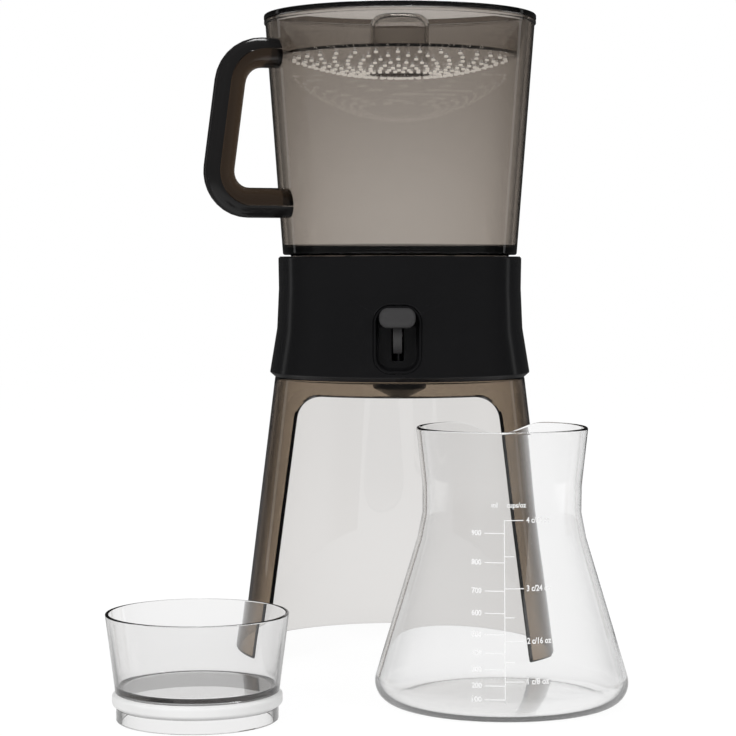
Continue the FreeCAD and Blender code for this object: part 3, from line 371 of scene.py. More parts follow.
def mesh_material():
    """Woven steel mesh: crossing wires over dark gaps."""
    material, tree, shader, _ = new_material("woven_mesh")
    source = object_coordinates(tree)
    waves = [fed(tree, "ShaderNodeTexWave", "Fac", {"Vector": source, "Scale": 260}, bands_direction=axis)
             for axis in ("X", "Y")]
    weave = fed(tree, "ShaderNodeMath", "Value", dict(enumerate(waves)), operation="MAXIMUM")
    ramp = tree.nodes.new("ShaderNodeValToRGB")
    for stop, place, color in zip(ramp.color_ramp.elements, (0.45, 0.8), (MESH_GAP, MESH_WIRE)):
        stop.position = place
        stop.color = (*color, 1)
    feed(tree, ramp, {"Fac": weave})
    feed(tree, shader, {"Metallic": 1, "Base Color": ramp.outputs["Color"], "Roughness": 0.35})
    bump(tree, shader, weave, 0.0001)
    return material


# Tints and densities of the clear walls: a 3 mm smoke wall lets through about 0.67, 0.64 and 0.61 of red, green and
# blue. The base colours after them work on the surface.
SMOKE_TINT, SMOKE_DENSITY = (0.32, 0.235, 0.145), 195
HANDLE_DENSITY = 300
RAIN_DENSITY = 105
PLATE_DENSITY = 25
STAND_TINT, STAND_DENSITY = (0.40, 0.36, 0.32), 150
GLASS_TINT, GLASS_DENSITY = (0.35, 0.36, 0.36), 4.5
CUP_TINT, CUP_DENSITY = (0.40, 0.38, 0.37), 58
PLASTIC_IOR, GLASS_IOR = 1.5, 1.47
# Painted shade in the colours below: the stand's front half is darker, the stand's and vessel's walls go dark where
# they turn from the eye, and the rim band is nearly black in front.
STAND_FRONT_SHADE, STAND_BACK, STAND_EDGE_SHADE = (0.40, 0.32, 0.24), (0.98, 0.98, 0.98), (0.05, 0.045, 0.05)
VESSEL_LOW, VESSEL_TOP, VESSEL_EDGE_SHADE = (0.98, 0.98, 0.98), (0.78, 0.77, 0.76), (0.02, 0.02, 0.02)
BAND_FRONT_SHADE, BAND_BACK = (0.012, 0.012, 0.013), (0.5, 0.47, 0.45)
MESH_GAP, MESH_WIRE = (0.02, 0.02, 0.02), (0.55, 0.55, 0.57)


def smoke(name, density, waviness, color=None):
    return clear_material(name, PLASTIC_IOR, SMOKE_TINT, density, waviness, color)


smoke_handle = smoke("smoke_handle", HANDLE_DENSITY, 0.00005)
smoke_rain = smoke("smoke_rain", RAIN_DENSITY, 0.00003)
smoke_plate = smoke("smoke_plate", PLATE_DENSITY, 0.00002)
smoke_vessel = smoke("smoke_vessel", SMOKE_DENSITY, 0.00005, vessel_color)
smoke_band = smoke("smoke_band", SMOKE_DENSITY, 0.00002, band_color)
smoke_stand = clear_material("smoke_stand", PLASTIC_IOR, STAND_TINT, STAND_DENSITY, 0.00006, stand_color)
glass = clear_material("borosilicate", GLASS_IOR, GLASS_TINT, GLASS_DENSITY, 0.00016, polish=(0.0, 0.01))
pale_clear = clear_material("pale_clear", PLASTIC_IOR, CUP_TINT, CUP_DENSITY, 0.00006)
gloss_black = moulded_material("gloss_black", (0.006, 0.006, 0.0065), 0.10, 0.10, 1800, 0.000004, 0.28)
# Painted shade: an opaque near-black material for the handle's darker half, where the clear bar only looks dark.
painted_handle_shade = moulded_material("painted_handle_shade", (0.010, 0.0095, 0.0095), 0.12, 0.08, 1500, 0.000002, 0.25)
satin_black = moulded_material("satin_black", (0.012, 0.012, 0.0125), 0.34, 0.12, 2200, 0.00001, 0.3)
matt_grey = moulded_material("matt_grey", (0.045, 0.044, 0.045), 0.46, 0.1, 5200, 0.00003, 0.35)
white_silicone = silicone_material("white_silicone", (0.86, 0.86, 0.855))
# The lips under the drip holes catch the light, so they carry a painted highlight: a pale colour and a little glow of
# their own, though they are no lamp.
bead_painted_glow = silicone_material("bead_painted_glow", (0.93, 0.92, 0.9), 0.2,
                              {"Emission Color": (1, 0.98, 0.95), "Emission Strength": 0.7})
dark_silicone = silicone_material("dark_silicone", (0.03, 0.03, 0.032))
turned_steel = steel_material("turned_steel", (0.62, 0.62, 0.64), (1, 1, 0.02))
woven_mesh = mesh_material()
# White enamel print, thin enough to be a little uneven
white_print = grained_material("white_print", (1, 1, 1), (0.82, 0.96), (1500, 3), (1500, 3), (0.4, 0.6))


def paint(piece, material):
    piece.data.materials.clear()
    piece.data.materials.append(material)


def dress(piece, material, slot, body, *replaced):
    """Give a new piece its material, its body and the nodes that it stands for, which it hides. Its slot is not used.
    """
    paint(piece, material)
    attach(piece, body)
    if replaced:
        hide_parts(*replaced)


# Stand


def arch_edge(foot_half, head_half, top, corner):
    """The arch's right edge as (across, up) points, from the floor up round the corner."""
    line_steps = 40
    arc = tangent_arc((foot_half, 0), (head_half, top), (0, top), corner, math.radians(6))
    start = arc[0]
    line = [(foot_half + (start[0] - foot_half) * i / line_steps, start[1] * i / line_steps)
            for i in range(line_steps)]
    return line + arc


def stand():
    """The splayed stand: one turned wall with the arch cut straight through its front."""
    wall, shelf = 3.0 * MM, 1.0 * MM
    foot_radius, shoulder_radius = stand_high.x, 75.0 * MM
    neck_radius, flange_radius = 70.6 * MM, 60.0 * MM
    arch_foot_half, arch_head_half, arch_corner = 77.3 * MM, 57.1 * MM, 15.0 * MM
    top = shoulder_height - 9.1 * MM
    side_steps, front_steps = 176, 40
    edge = arch_edge(arch_foot_half, arch_head_half, top, arch_corner)
    across = edge[-1][0]

    def outer(z):
        return foot_radius + (shoulder_radius - foot_radius) * z / shoulder_height

    def row_of(radius, angles, z):
        return [work.verts.new(polar(radius, a, z)) for a in angles]

    def side_angles(radius, half):
        start = math.asin(half / radius)
        return [start + (2 * math.pi - 2 * start) * k / side_steps for k in range(side_steps + 1)]

    def brow_angles(radius):
        start = math.asin(across / radius)
        return [-start + 2 * start * k / front_steps for k in range(1, front_steps)]

    def face(inward):
        rows = [row_of(outer(z) - inward, side_angles(outer(z) - inward, x), z) for x, z in edge]
        for lower, upper in zip(rows, rows[1:]):
            strip(work, lower, upper)
        return rows

    work = bmesh.new()
    outside, inside = face(0), face(wall)
    strip(work, outside[0], inside[0])
    for end in (0, -1):
        strip(work, [row[end] for row in outside], [row[end] for row in inside])
    # The brow over the arch: rings that take in the last row of each face and close it across the front
    outer_ring, inner_ring = [rows[-1] + row_of(radius, brow_angles(radius), top)
                              for rows, radius in ((outside, outer(top)), (inside, outer(top) - wall))]
    profile = rounded([
        (outer(top), top),
        (shoulder_radius, shoulder_height, 1.0 * MM),
        (neck_radius, shoulder_height, 0.5 * MM),
        (neck_radius, stand_high.z, 0.8 * MM),
        (flange_radius, stand_high.z, 0.8 * MM),
        (flange_radius, stand_high.z - wall, 0.8 * MM),
        (neck_radius - wall, stand_high.z - wall, 0.5 * MM),
        (neck_radius - wall, shoulder_height - shelf, 0.3 * MM),
        (outer(shoulder_height - shelf) - wall, shoulder_height - shelf, 0.5 * MM),
        (outer(top) - wall, top),
    ], closed=False)
    angles = side_angles(outer(top), across) + brow_angles(outer(top))
    rings = [outer_ring] + [row_of(radius, angles, z) for radius, z in profile[1:-1]] + [inner_ring]
    bridge_rings(work, rings)
    # The cut face under the brow
    strip(work, outer_ring[side_steps:] + outer_ring[:1], inner_ring[side_steps:] + inner_ring[:1])
    bmesh.ops.recalc_face_normals(work, faces=work.faces)
    crisp = [e for e in work.edges if len(e.link_faces) == 2 and e.calc_face_angle(0) > math.radians(60)
             and max(v.co.z for v in e.verts) < top + 0.1 * MM]
    bmesh.ops.bevel(work, geom=crisp, offset=1.1 * MM, segments=4, profile=0.5, affect="EDGES")
    dress(finish_mesh(work, "stand_wall"), smoke_stand, "smoke_plastic", "stand", "stand_shell")


# Collar with the switch's pocket

pocket_half = (bezel_high.x - bezel_low.x) / 2
pocket_middle = (bezel_low.z + bezel_high.z) / 2
pocket_half_height = (bezel_high.z - bezel_low.z) / 2
pocket_rounding = 10.0 * MM
mouth_radius = 73.0 * MM
hem_radius = collar_high.x
# The collar's outside, from the bevelled hem up the waist to the mouth
collar_face = rounded([
    (hem_radius - 3.1 * MM, collar_low.z),
    (hem_radius, collar_low.z + 2.7 * MM, 0.5 * MM),
    (hem_radius, collar_low.z + 4.0 * MM, 0.4 * MM),
    (72.35 * MM, collar_high.z - 43.0 * MM, 200.0 * MM),
    (mouth_radius, collar_high.z - 1.0 * MM, 0.9 * MM),
    (mouth_radius - 1.0 * MM, collar_high.z),
], closed=False)


def collar():
    """The black collar: a waisted wall with a flared, bevelled hem and a rounded window for the switch."""
    wall = 3.0 * MM
    columns, half = 200, 13
    window_low, window_high = bezel_low.z - 1.6 * MM, bezel_high.z + 3.2 * MM
    window_rows = 12
    rows = [z for _, z in collar_face if z < window_low - 0.5 * MM]
    first_row = len(rows)
    rows += [window_low + (window_high - window_low) * j / window_rows for j in range(window_rows + 1)]
    last_row = len(rows) - 1
    rows += [z for _, z in collar_face if z > window_high + 0.5 * MM]
    work = bmesh.new()

    def grid(inward):
        """One face of the wall, open at the window, which takes half its columns on each side of the front."""
        table = []
        for z in rows:
            radius = radius_at(collar_face, z) - inward
            table.append(ring(work, columns, lambda a: polar(radius, a, z)))
        for j, (low, high) in enumerate(zip(table, table[1:])):
            for i in range(columns):
                k = (i + 1) % columns
                if half <= i < columns - half or not first_row <= j < last_row:
                    work.faces.new([low[i], low[k], high[k], high[i]])
        return table

    def around_window(table):
        low_side = [table[first_row][i] for i in range(-half, half)]
        right_side = [table[j][half] for j in range(first_row, last_row)]
        high_side = [table[last_row][i] for i in range(half, -half, -1)]
        left_side = [table[j][-half] for j in range(last_row, first_row, -1)]
        return low_side + right_side + high_side + left_side

    edges = []
    for inward in (0, wall):
        table = grid(inward)
        loop = around_window(table)
        for margin, sunk in ((1.2 * MM, 0), (0.8 * MM, 0.03 * MM), (0.35 * MM, 0.25 * MM), (0.1 * MM, 0.8 * MM)):
            if inward and margin < 1 * MM:
                continue
            outline = rounded_loop(pocket_half + margin, pocket_half_height + margin, pocket_rounding + margin, 720,
                                   (0, pocket_middle))
            nearer = []
            for vertex in loop:
                x, z = min(outline, key=lambda p: (p[0] - vertex.co.x) ** 2 + (p[1] - vertex.co.z) ** 2)
                radius = radius_at(collar_face, z) - inward
                nearer.append(work.verts.new((x, -math.sqrt(radius ** 2 - x ** 2) + sunk, z)))
            bridge(work, loop, nearer)
            loop = nearer
        edges.append((table, loop))
    (outer, outer_loop), (inner, inner_loop) = edges
    for first, second in ((outer_loop, inner_loop), (outer[0], inner[0]), (outer[-1], inner[-1])):
        bridge(work, first, second)
    dress(finish_mesh(work, "collar_wall"), gloss_black, "black_gloss", "stand", "collar_shell")


def bezel():
    """The switch's pocket: a dished lining with soft edges and the lever's slot in its floor."""
    wall = 1.6 * MM
    floor = -67.0 * MM
    back = floor + wall
    dish, dish_steps = 3.2 * MM, 6
    slot_half = 3.4 * MM
    slot_middle, slot_half_height = shoulder_height + 25.5 * MM, 13.5 * MM
    count = 160
    work = bmesh.new()

    def loop(margin, depth, on_face=False):
        """The pocket's outline drawn in by a margin, at a depth behind the front or behind the collar's face."""
        points = rounded_loop(pocket_half - margin, pocket_half_height - margin, pocket_rounding - margin, count,
                              (0, pocket_middle))
        return [work.verts.new((x, depth - on_face * math.sqrt(radius_at(collar_face, z) ** 2 - x ** 2), z))
                for x, z in points]

    def slot_loop(grown, depth, rounding):
        outline = rounded_loop(slot_half + grown, slot_half_height + grown, rounding, 720, (0, slot_middle))
        made = []
        for x, z in rounded_loop(pocket_half, pocket_half_height, pocket_rounding, count, (0, pocket_middle)):
            spot = min(outline, key=lambda p: (p[0] - x * 0.25) ** 2 + (p[1] - slot_middle - (z - pocket_middle)) ** 2)
            made.append(work.verts.new((spot[0], depth, spot[1])))
        return made

    loops = [loop(0, back), loop(0, 1.0 * MM, True), loop(0.15 * MM, 0.75 * MM, True), loop(0.7 * MM, 0.62 * MM, True),
             loop(1.25 * MM, 0.75 * MM, True), loop(1.6 * MM, 1.2 * MM, True)]
    for step in range(1, dish_steps + 1):
        angle = math.pi / 2 * step / dish_steps
        loops.append(loop(1.7 * MM + dish * (1 - math.cos(angle)), floor - dish * (1 - math.sin(angle))))
    loops += [slot_loop(0.5 * MM, floor, 0.9 * MM), slot_loop(0.12 * MM, floor + 0.12 * MM, 0.6 * MM),
              slot_loop(0.0, floor + 0.5 * MM, 0.5 * MM), slot_loop(0.0, back, 0.5 * MM)]
    bridge_rings(work, loops, closed=True)
    dress(finish_mesh(work, "switch_pocket", 50), gloss_black, "black_gloss", "stand", "switch_bezel")
    # The two ears that carry the pin, behind the pocket's floor
    pin_low, pin_high = box_of("lever_pin")
    ear_inside, ear_height = 2.9 * MM, 8.0 * MM
    extent = (pin_high.x - ear_inside, bezel_high.y - back, ear_height)
    ears = bmesh.new()
    for side in (-1, 1):
        centre = Vector((side * (ear_inside + pin_high.x) / 2, (back + bezel_high.y) / 2, (pin_low.z + pin_high.z) / 2))
        for vertex in bmesh.ops.create_cube(ears, size=1)["verts"]:
            vertex.co = Vector([c * e for c, e in zip(vertex.co, extent)]) + centre
    bmesh.ops.bevel(ears, geom=ears.edges, offset=0.5 * MM, segments=3, profile=0.5, affect="EDGES")
    dress(finish_mesh(ears, "pin_ears"), satin_black, "black_gloss", "stand")


def knob():
    """The thumb knob: a rounded bar with a soft ridge, its upper face leaning back."""
    half_width, half_height = (knob_high.x - knob_low.x) / 2, (knob_high.z - knob_low.z) / 2
    middle = (knob_low.z + knob_high.z) / 2
    ridge, slope, slope_depth = middle + 0.6 * MM, 0.42, 5 * MM
    corner = 5.2 * MM
    count = 96
    work = bmesh.new()
    # Each loop is drawn in by a margin at a depth behind the front
    loops = []
    for inset, depth in ((0.9, 7.8), (0.3, 7.5), (0.0, 7.0), (0.0, 3.4), (0.12, 2.2), (0.5, 1.2), (1.1, 0.55),
                         (1.9, 0.18), (2.8, 0.04), (4.2, 0.0)):
        inset, depth = inset * MM, depth * MM
        made = []
        for x, z in rounded_loop(half_width - inset, half_height - inset, corner - inset, count, (0, middle)):
            lean = max(0, z - ridge) * slope * max(0, 1 - depth / slope_depth)
            made.append(work.verts.new((x, knob_low.y + depth + lean, z)))
        loops.append(made)
    bridge_rings(work, loops)
    work.faces.new(loops[0])
    # The front face closes with rows across it, so that the ridge stays a crease
    last, half = loops[-1], count // 2
    work.faces.new([last[0], last[1], last[-1]])
    for i in range(1, half - 1):
        work.faces.new([last[i], last[i + 1], last[-i - 1], last[-i]])
    work.faces.new(last[half - 1:half + 2])
    dress(finish_mesh(work, "thumb_knob", 50), matt_grey, "lever_plastic", "brew_lever", "lever_knob")


def funnel():
    """The drip funnel under the collar: a wide throat, a shallow bowl and a short nozzle."""
    top, tip = funnel_high.z, funnel_low.z
    wall = 2.0 * MM
    throat, bowl, nozzle = 21.9 * MM, 16.2 * MM, 6.0 * MM
    waist, brim = shoulder_height - 4.0 * MM, shoulder_height - 7.0 * MM
    flange_under = top - wall
    outline = [
        (funnel_high.x, flange_under, 0.4 * MM),
        (funnel_high.x, top, 0.4 * MM),
        (throat - wall, top, 0.8 * MM),
        (bowl - wall, waist + wall / 2, 1.0 * MM),
        (bowl - wall, brim + wall / 2, 1.0 * MM),
        (3.2 * MM, tip + wall, 0.6 * MM),
        (3.2 * MM, tip),
        (nozzle, tip, 0.8 * MM),
        (bowl, brim, 1.4 * MM),
        (bowl, waist, 1.2 * MM),
        (throat, flange_under - wall, 1.0 * MM),
        (throat, flange_under, 0.3 * MM),
    ]
    dress(lathe("drip_nozzle", outline, steps=128), gloss_black, "black_gloss", "stand", "drip_funnel")


# Brewing container


container_wall = 3.1 * MM
container_base = collar_high.z + 0.9 * MM
foot_radius = 70.2 * MM
wall_top = container_high.z - 1.9 * MM
wall_top_radius = 80.5 * MM


def container_radius(height):
    return foot_radius + (wall_top_radius - foot_radius) * (height - container_base) / (wall_top - container_base)


def container():
    """The tapered vessel with its rim bead, its floor, the filter's well and the ring that seats in the deck."""
    floor = collar_high.z + 5.0 * MM
    well, well_floor = 33.0 * MM, container_low.z + 3.0 * MM
    ring_radius, ring_wall = 65.5 * MM, 3.0 * MM
    deck = collar_high.z - 10.0 * MM
    outline = [
        (foot_radius, container_base, 1.4 * MM),
        (wall_top_radius, wall_top, 0.3 * MM),
        (container_high.x, wall_top, 0.35 * MM),
        (container_high.x, container_high.z, 0.5 * MM),
        (wall_top_radius - container_wall, container_high.z, 0.4 * MM),
        (foot_radius - container_wall, floor, 2.5 * MM),
        (well - 3.0 * MM, floor - 0.8 * MM, 1.0 * MM),
        (well - 3.0 * MM, well_floor, 1.2 * MM),
        (9.0 * MM, well_floor, 0.4 * MM),
        (9.0 * MM, container_low.z, 0.4 * MM),
        (well, container_low.z, 1.5 * MM),
        (well, container_base, 0.8 * MM),
        (ring_radius - ring_wall, container_base, 0.6 * MM),
        (ring_radius - ring_wall, deck, 0.5 * MM),
        (ring_radius, deck, 0.5 * MM),
        (ring_radius, container_base, 0.6 * MM),
    ]
    dress(lathe("container_wall", outline, steps=256), smoke_vessel, "smoke_plastic", "brewing_container", "container")


def handle_route():
    """The handle's middle line in its own plane, as (reach, height) points."""
    top, bottom = 355.8 * MM, 268.3 * MM
    root = foot_radius - 8.8 * MM
    return rounded([
        (root, top),
        (105.5 * MM, top, 20.0 * MM),
        (117.5 * MM, bottom, 18.0 * MM),
        (root, bottom),
    ], closed=False)


def swept(work, route, section):
    """Sweep a section along a route in the handle's plane and end it just inside the vessel's outside."""
    def at_vessel(side, height):
        return math.sqrt((container_radius(height) - 0.15 * MM) ** 2 - side ** 2)

    rows = []
    for i, here in enumerate(route):
        onward = (route[min(len(route) - 1, i + 1)] - route[max(0, i - 1)]).normalized()
        rows.append([(here.x + onward.y * out, side, here.y - onward.x * out) for side, out in section])
    kept = [row for row in rows[1:-1] if min(x - at_vessel(y, z) for x, y, z in row) > 0.5 * MM]
    first, last = [[(at_vessel(y, z), y, z) for _, y, z in row] for row in (rows[0], rows[-1])]
    made = [[work.verts.new(spot) for spot in row] for row in [first] + kept + [last]]
    bridge_rings(work, made)
    work.faces.new(list(reversed(made[0])))
    work.faces.new(made[-1])


def handle():
    """The thick clear handle: a rounded bar on two bends, whose outer half is an opaque near-black piece, painted shade
    for the darkness that the clear bar shows there.
    """
    half_size, squareness = 8.8 * MM, 0.86
    section_steps = 64
    seam, split = 0.22 * MM, -2.0 * MM
    step, lean = 3 * MM, 24.8

    def bar(side):
        points = []
        for i in range(section_steps):
            angle = 2 * math.pi * i / section_steps
            c, s = math.cos(angle), math.sin(angle)
            out = half_size * math.copysign(abs(s) ** squareness, s)
            out = max(out, split + seam) if side > 0 else min(out, split - seam)
            points.append((half_size * math.copysign(abs(c) ** squareness, c), out))
        return points

    route = divided(handle_route(), lambda run: math.ceil(run.length / step))
    turn = Matrix.Rotation(math.radians(180 + lean), 4, "Z")
    # The second half is painted shade: an opaque near-black piece where the clear bar only looks dark.
    for name, side, material, replaced in (("handle_bar", 1, smoke_handle, ["container_handle"]),
                                           ("handle_shade_half", -1, painted_handle_shade, [])):
        work = bmesh.new()
        swept(work, route, bar(side))
        bmesh.ops.transform(work, matrix=turn, verts=work.verts)
        dress(finish_mesh(work, name, 50), material, "smoke_plastic", "brewing_container", *replaced)


# Rainmaker


def rainmaker_wall():
    """The rainmaker's sloping wall, and the band that lies on the vessel's rim, darkened in front by painted shade."""
    inner_mouth = wall_top_radius - container_wall - 0.6 * MM
    wall = 2.4 * MM
    plate_radius = plate_high.x
    outline = [
        (inner_mouth, rim_high.z - 0.2 * MM, 0.6 * MM),
        (inner_mouth - wall, rim_high.z - 0.2 * MM, 0.9 * MM),
        (inner_mouth - wall, container_high.z - 1.5 * MM, 4.0 * MM),
        (plate_radius, rim_low.z + 2.2 * MM, 0.4 * MM),
        (plate_radius, rim_low.z),
        (plate_radius + wall, rim_low.z, 1.2 * MM),
    ]
    dress(lathe("rainmaker_wall", outline, steps=256), smoke_rain, "smoke_plastic", "rainmaker", "rainmaker_rim")
    band = [
        (inner_mouth + 0.1 * MM, container_high.z + 0.5 * MM, 0.3 * MM),
        (rim_high.x, container_high.z + 0.5 * MM, 0.5 * MM),
        (rim_high.x, rim_high.z, 0.9 * MM),
        (inner_mouth + 0.1 * MM, rim_high.z, 0.6 * MM),
    ]
    dress(lathe("rim_band", band, steps=256), smoke_band, "smoke_plastic", "rainmaker")


def rainmaker_plate():
    """The dished plate: rings of round drip holes, each ring half a step on from the last."""
    holes_in_ring, rings_of_holes = 32, 8
    inner_radius, outer_radius = grip_high.x, plate_high.x - 0.05 * MM
    thickness, hole_radius = 2.2 * MM, 0.95 * MM
    edge_height = plate_high.z - thickness
    dish = edge_height - plate_low.z
    first_band, last_band = inner_radius + 3.0 * MM, outer_radius - 2.4 * MM
    side = 4
    columns = holes_in_ring * side

    def height(radius):
        share = (outer_radius - radius) / (outer_radius - inner_radius)
        return edge_height - dish * math.sin(math.pi / 2 * min(1, share))

    def spot(radius, column, lift):
        return polar(radius, 2 * math.pi * column / columns, height(radius) + lift)

    work = bmesh.new()
    bands = [first_band + (last_band - first_band) * i / rings_of_holes for i in range(rings_of_holes + 1)]
    open_rims = []
    beads = []
    for lift in (0, thickness):
        circles = {r: [work.verts.new(spot(r, c, lift)) for c in range(columns)]
                   for r in [inner_radius] + bands + [outer_radius]}
        bridge(work, circles[inner_radius], circles[bands[0]])
        bridge(work, circles[bands[-1]], circles[outer_radius])
        rims = [circles[inner_radius], circles[outer_radius]]
        for band, (near, far) in enumerate(zip(bands, bands[1:])):
            shift = (band % 2) * side // 2
            spokes = {}
            for cell in range(holes_in_ring):
                start = (cell * side + shift) % columns
                column = [work.verts.new(spot(near + (far - near) * k / side, start, lift)) for k in range(1, side)]
                spokes[start] = [circles[near][start]] + column + [circles[far][start]]
            for cell in range(holes_in_ring):
                start = (cell * side + shift) % columns
                end = (start + side) % columns
                border = [circles[near][(start + k) % columns] for k in range(side)]
                border += spokes[end][:-1]
                border += [circles[far][(start + side - k) % columns] for k in range(side)]
                border += list(reversed(spokes[start]))[:-1]
                middle_angle = 2 * math.pi * (start + side / 2) / columns
                middle_radius = (near + far) / 2
                rim = []
                for k in range(len(border)):
                    turn = 2 * math.pi * (k - side / 2) / len(border) - math.pi / 2
                    along, out = hole_radius * math.cos(turn), hole_radius * math.sin(turn)
                    radius = middle_radius + out
                    rim.append(work.verts.new(polar(radius, middle_angle + along / middle_radius,
                                                    height(radius) + lift)))
                bridge(work, border, rim)
                rims.append(rim)
                if not lift:
                    beads.append((middle_radius, middle_angle, height(middle_radius)))
        open_rims.append(rims)
    for low_rim, high_rim in zip(*open_rims):
        bridge(work, low_rim, high_rim)
    plate = finish_mesh(work, "drip_plate", 50)
    dress(plate, smoke_plate, "smoke_plastic", "rainmaker", "rainmaker_plate")
    drip_beads(beads)


def drip_beads(places):
    """The round lip under each drip hole, open in the middle, pale and faintly glowing as a painted highlight."""
    reach, half_width, half_height = 0.8 * MM, 0.45 * MM, 0.7 * MM
    sunk = 0.05 * MM
    sides, segments = 10, 16
    turns = [2 * math.pi * i / sides for i in range(sides)]
    section = [(reach + half_width * math.cos(turn), half_height * math.sin(turn)) for turn in turns]
    work = bmesh.new()
    for radius, angle, height in places:
        centre = Vector(polar(radius, angle, height - half_height + sunk))
        rings = [ring(work, segments, lambda a: centre + Vector((r * math.cos(a), r * math.sin(a), z)))
                 for r, z in section]
        bridge_rings(work, rings, closed=True)
    dress(finish_mesh(work, "drip_beads", 80), bead_painted_glow, "smoke_plastic", "rainmaker")


def rainmaker_grip():
    """The hollow grip that rises from the plate, with rounded shoulders and a soft step on top."""
    radius, wall = grip_high.x, 2.2 * MM
    foot, top = plate_low.z + wall, grip_high.z
    outline = [
        (radius - 0.05 * MM, foot + 0.05 * MM),
        (radius - 0.6 * MM, top, 7.0 * MM),
        (0, top),
        (0, top - wall),
        (radius - wall - 0.6 * MM, top - wall, 5.5 * MM),
        (radius - wall, foot + 0.05 * MM),
    ]
    dress(lathe("grip_dome", outline, steps=160), smoke_rain, "smoke_plastic", "rainmaker", "rainmaker_grip")


# Carafe


def carafe_profile():
    """The flask's outline: outside from the base's middle to the rim, then inside back to the middle."""
    wall = 2.2 * MM
    top = carafe_high.z
    foot, waist, rim = 71.2 * MM, 40.7 * MM, 45.6 * MM
    waist_height = 101.0 * MM
    return rounded([
        (0, 1.2 * MM),
        (foot - 16.0 * MM, 0.0, 8.0 * MM),
        (foot, 0.0, 11.0 * MM),
        (waist, waist_height, 70.0 * MM),
        (rim, top, 1.05 * MM),
        (rim - wall, top, 1.05 * MM),
        (waist - wall, waist_height, 72.0 * MM),
        (foot - wall * 1.3, 2.4 * MM, 9.0 * MM),
        (foot - 20.0 * MM, 2.4 * MM, 10.0 * MM),
        (0, 3.6 * MM),
    ])


def carafe_point(radius, height, angle):
    """A point of the flask at an angle from the front, with the rim's one pouring dip at the back."""
    depth, half_width, fade, lip = 6.8 * MM, 15 * MM, 34 * MM, 1.8 * MM
    aside = abs(math.atan2(math.sin(angle), -math.cos(angle))) * radius
    dip = math.exp(-((aside / half_width) ** 2.4))
    near_rim = max(0, 1 - (carafe_high.z - height) / fade)
    sink = depth * dip * near_rim ** 1.6
    reach = radius + lip * dip * near_rim ** 3
    return Vector(polar(reach, angle, height - sink)) + Vector((*carafe_axis, 0))


def carafe():
    steps = 224
    outline = divided(carafe_profile(), lambda run: int(abs(run.y) / (6 * MM)))
    work = bmesh.new()
    rings = [ring(work, steps, lambda a: carafe_point(radius, height, a)) if radius > 1e-6
             else [work.verts.new((*carafe_axis, height))] * steps for radius, height in outline]
    bridge_rings(work, rings)
    dress(finish_mesh(work, "flask", 60), glass, "clear_glass", "carafe", "carafe_glass")


def outside_radius(height):
    """The flask's outer radius at a height, above its rounded foot."""
    outline = carafe_profile()
    peak = max(range(len(outline)), key=lambda i: outline[i][1])
    return radius_at(outline[:peak + 1], height)


def on_flask(across, height):
    """A point of the flask's front face at a distance across from its middle."""
    radius = outside_radius(height) + 0.05 * MM
    angle = math.asin(max(-0.99, min(0.99, across / radius)))
    return carafe_point(radius, height, angle)


# The scale's upright line, and the heights of its marks, read along the flask's front: millimetres above the floor
SCALE_LINE, SCALE_HEAD = 0.15 * MM, 109.0 * MM
SCALE_HEIGHTS = {100: 13.4, 200: 20.0, 300: 27.8, 400: 35.8, 500: 44.8, 600: 55.2, 700: 66.1, 800: 80.1, 900: 94.7}
SCALE_QUARTS = [("4 c/32 oz", 101.2), ("", 83.1), ("3 c/24 oz", 67.3), ("", 53.1), ("2 c/16 oz", 41.6), ("", 31.5),
                ("1 c/8 oz", 22.0)]


def carafe_scale():
    """The printed scale: a long upright line, marks on both sides and their numbers."""
    work = bmesh.new()
    line = 0.45 * MM

    def bar(left, right, low, high):
        steps_x = max(1, int((right - left) / (1.5 * MM)))
        steps_z = max(1, int((high - low) / (2 * MM)))
        rows = [[work.verts.new(on_flask(left + (right - left) * i / steps_x, low + (high - low) * j / steps_z))
                 for i in range(steps_x + 1)] for j in range(steps_z + 1)]
        for lower, upper in zip(rows, rows[1:]):
            strip(work, lower, upper)

    def label(text, left, right, middle, height):
        curve = bpy.data.curves.new("label", "FONT")
        curve.body = text
        curve.size = height * 1.4
        curve.offset = height * 0.035
        curve.align_x, curve.align_y = "LEFT", "CENTER"
        curve.resolution_u = 3
        shown = link(curve, "label")
        bpy.context.view_layer.update()
        flat = bpy.data.meshes.new_from_object(shown.evaluated_get(bpy.context.evaluated_depsgraph_get()))
        bpy.data.objects.remove(shown)
        letters = [v.co.copy() for v in flat.vertices]
        start, end = min(c.x for c in letters), max(c.x for c in letters)
        narrow = (right - left) / (end - start)
        made = [work.verts.new(on_flask(left + (c.x - start) * narrow, middle + c.y)) for c in letters]
        for polygon in flat.polygons:
            work.faces.new([made[i] for i in polygon.vertices])
        bpy.data.meshes.remove(flat)

    bar(SCALE_LINE - line / 2, SCALE_LINE + line / 2, (SCALE_HEIGHTS[100] - 2) * MM, SCALE_QUARTS[0][1] * MM)
    for amount, height in SCALE_HEIGHTS.items():
        height *= MM
        bar(SCALE_LINE - 10.2 * MM, SCALE_LINE, height - line / 2, height + line / 2)
        label(str(amount), SCALE_LINE - 16.8 * MM, SCALE_LINE - 11.8 * MM, height, 2.7 * MM)
    for words, height in SCALE_QUARTS:
        height *= MM
        reach = 9.8 * MM if words else 5.0 * MM
        bar(SCALE_LINE, SCALE_LINE + reach, height - line / 2, height + line / 2)
        if words:
            label(words, SCALE_LINE + 11.3 * MM, SCALE_LINE + (11.3 + 1.37 * len(words)) * MM, height, 2.9 * MM)
    label("ml", SCALE_LINE - 6.6 * MM, SCALE_LINE - 3.6 * MM, SCALE_HEAD, 2.6 * MM)
    label("cups/oz", SCALE_LINE + 1.2 * MM, SCALE_LINE + 11.2 * MM, SCALE_HEAD, 2.6 * MM)
    dress(link(mesh_of(work, "printed_scale"), "printed_scale"), white_print, "white_silicone", "carafe")


# Measuring cup


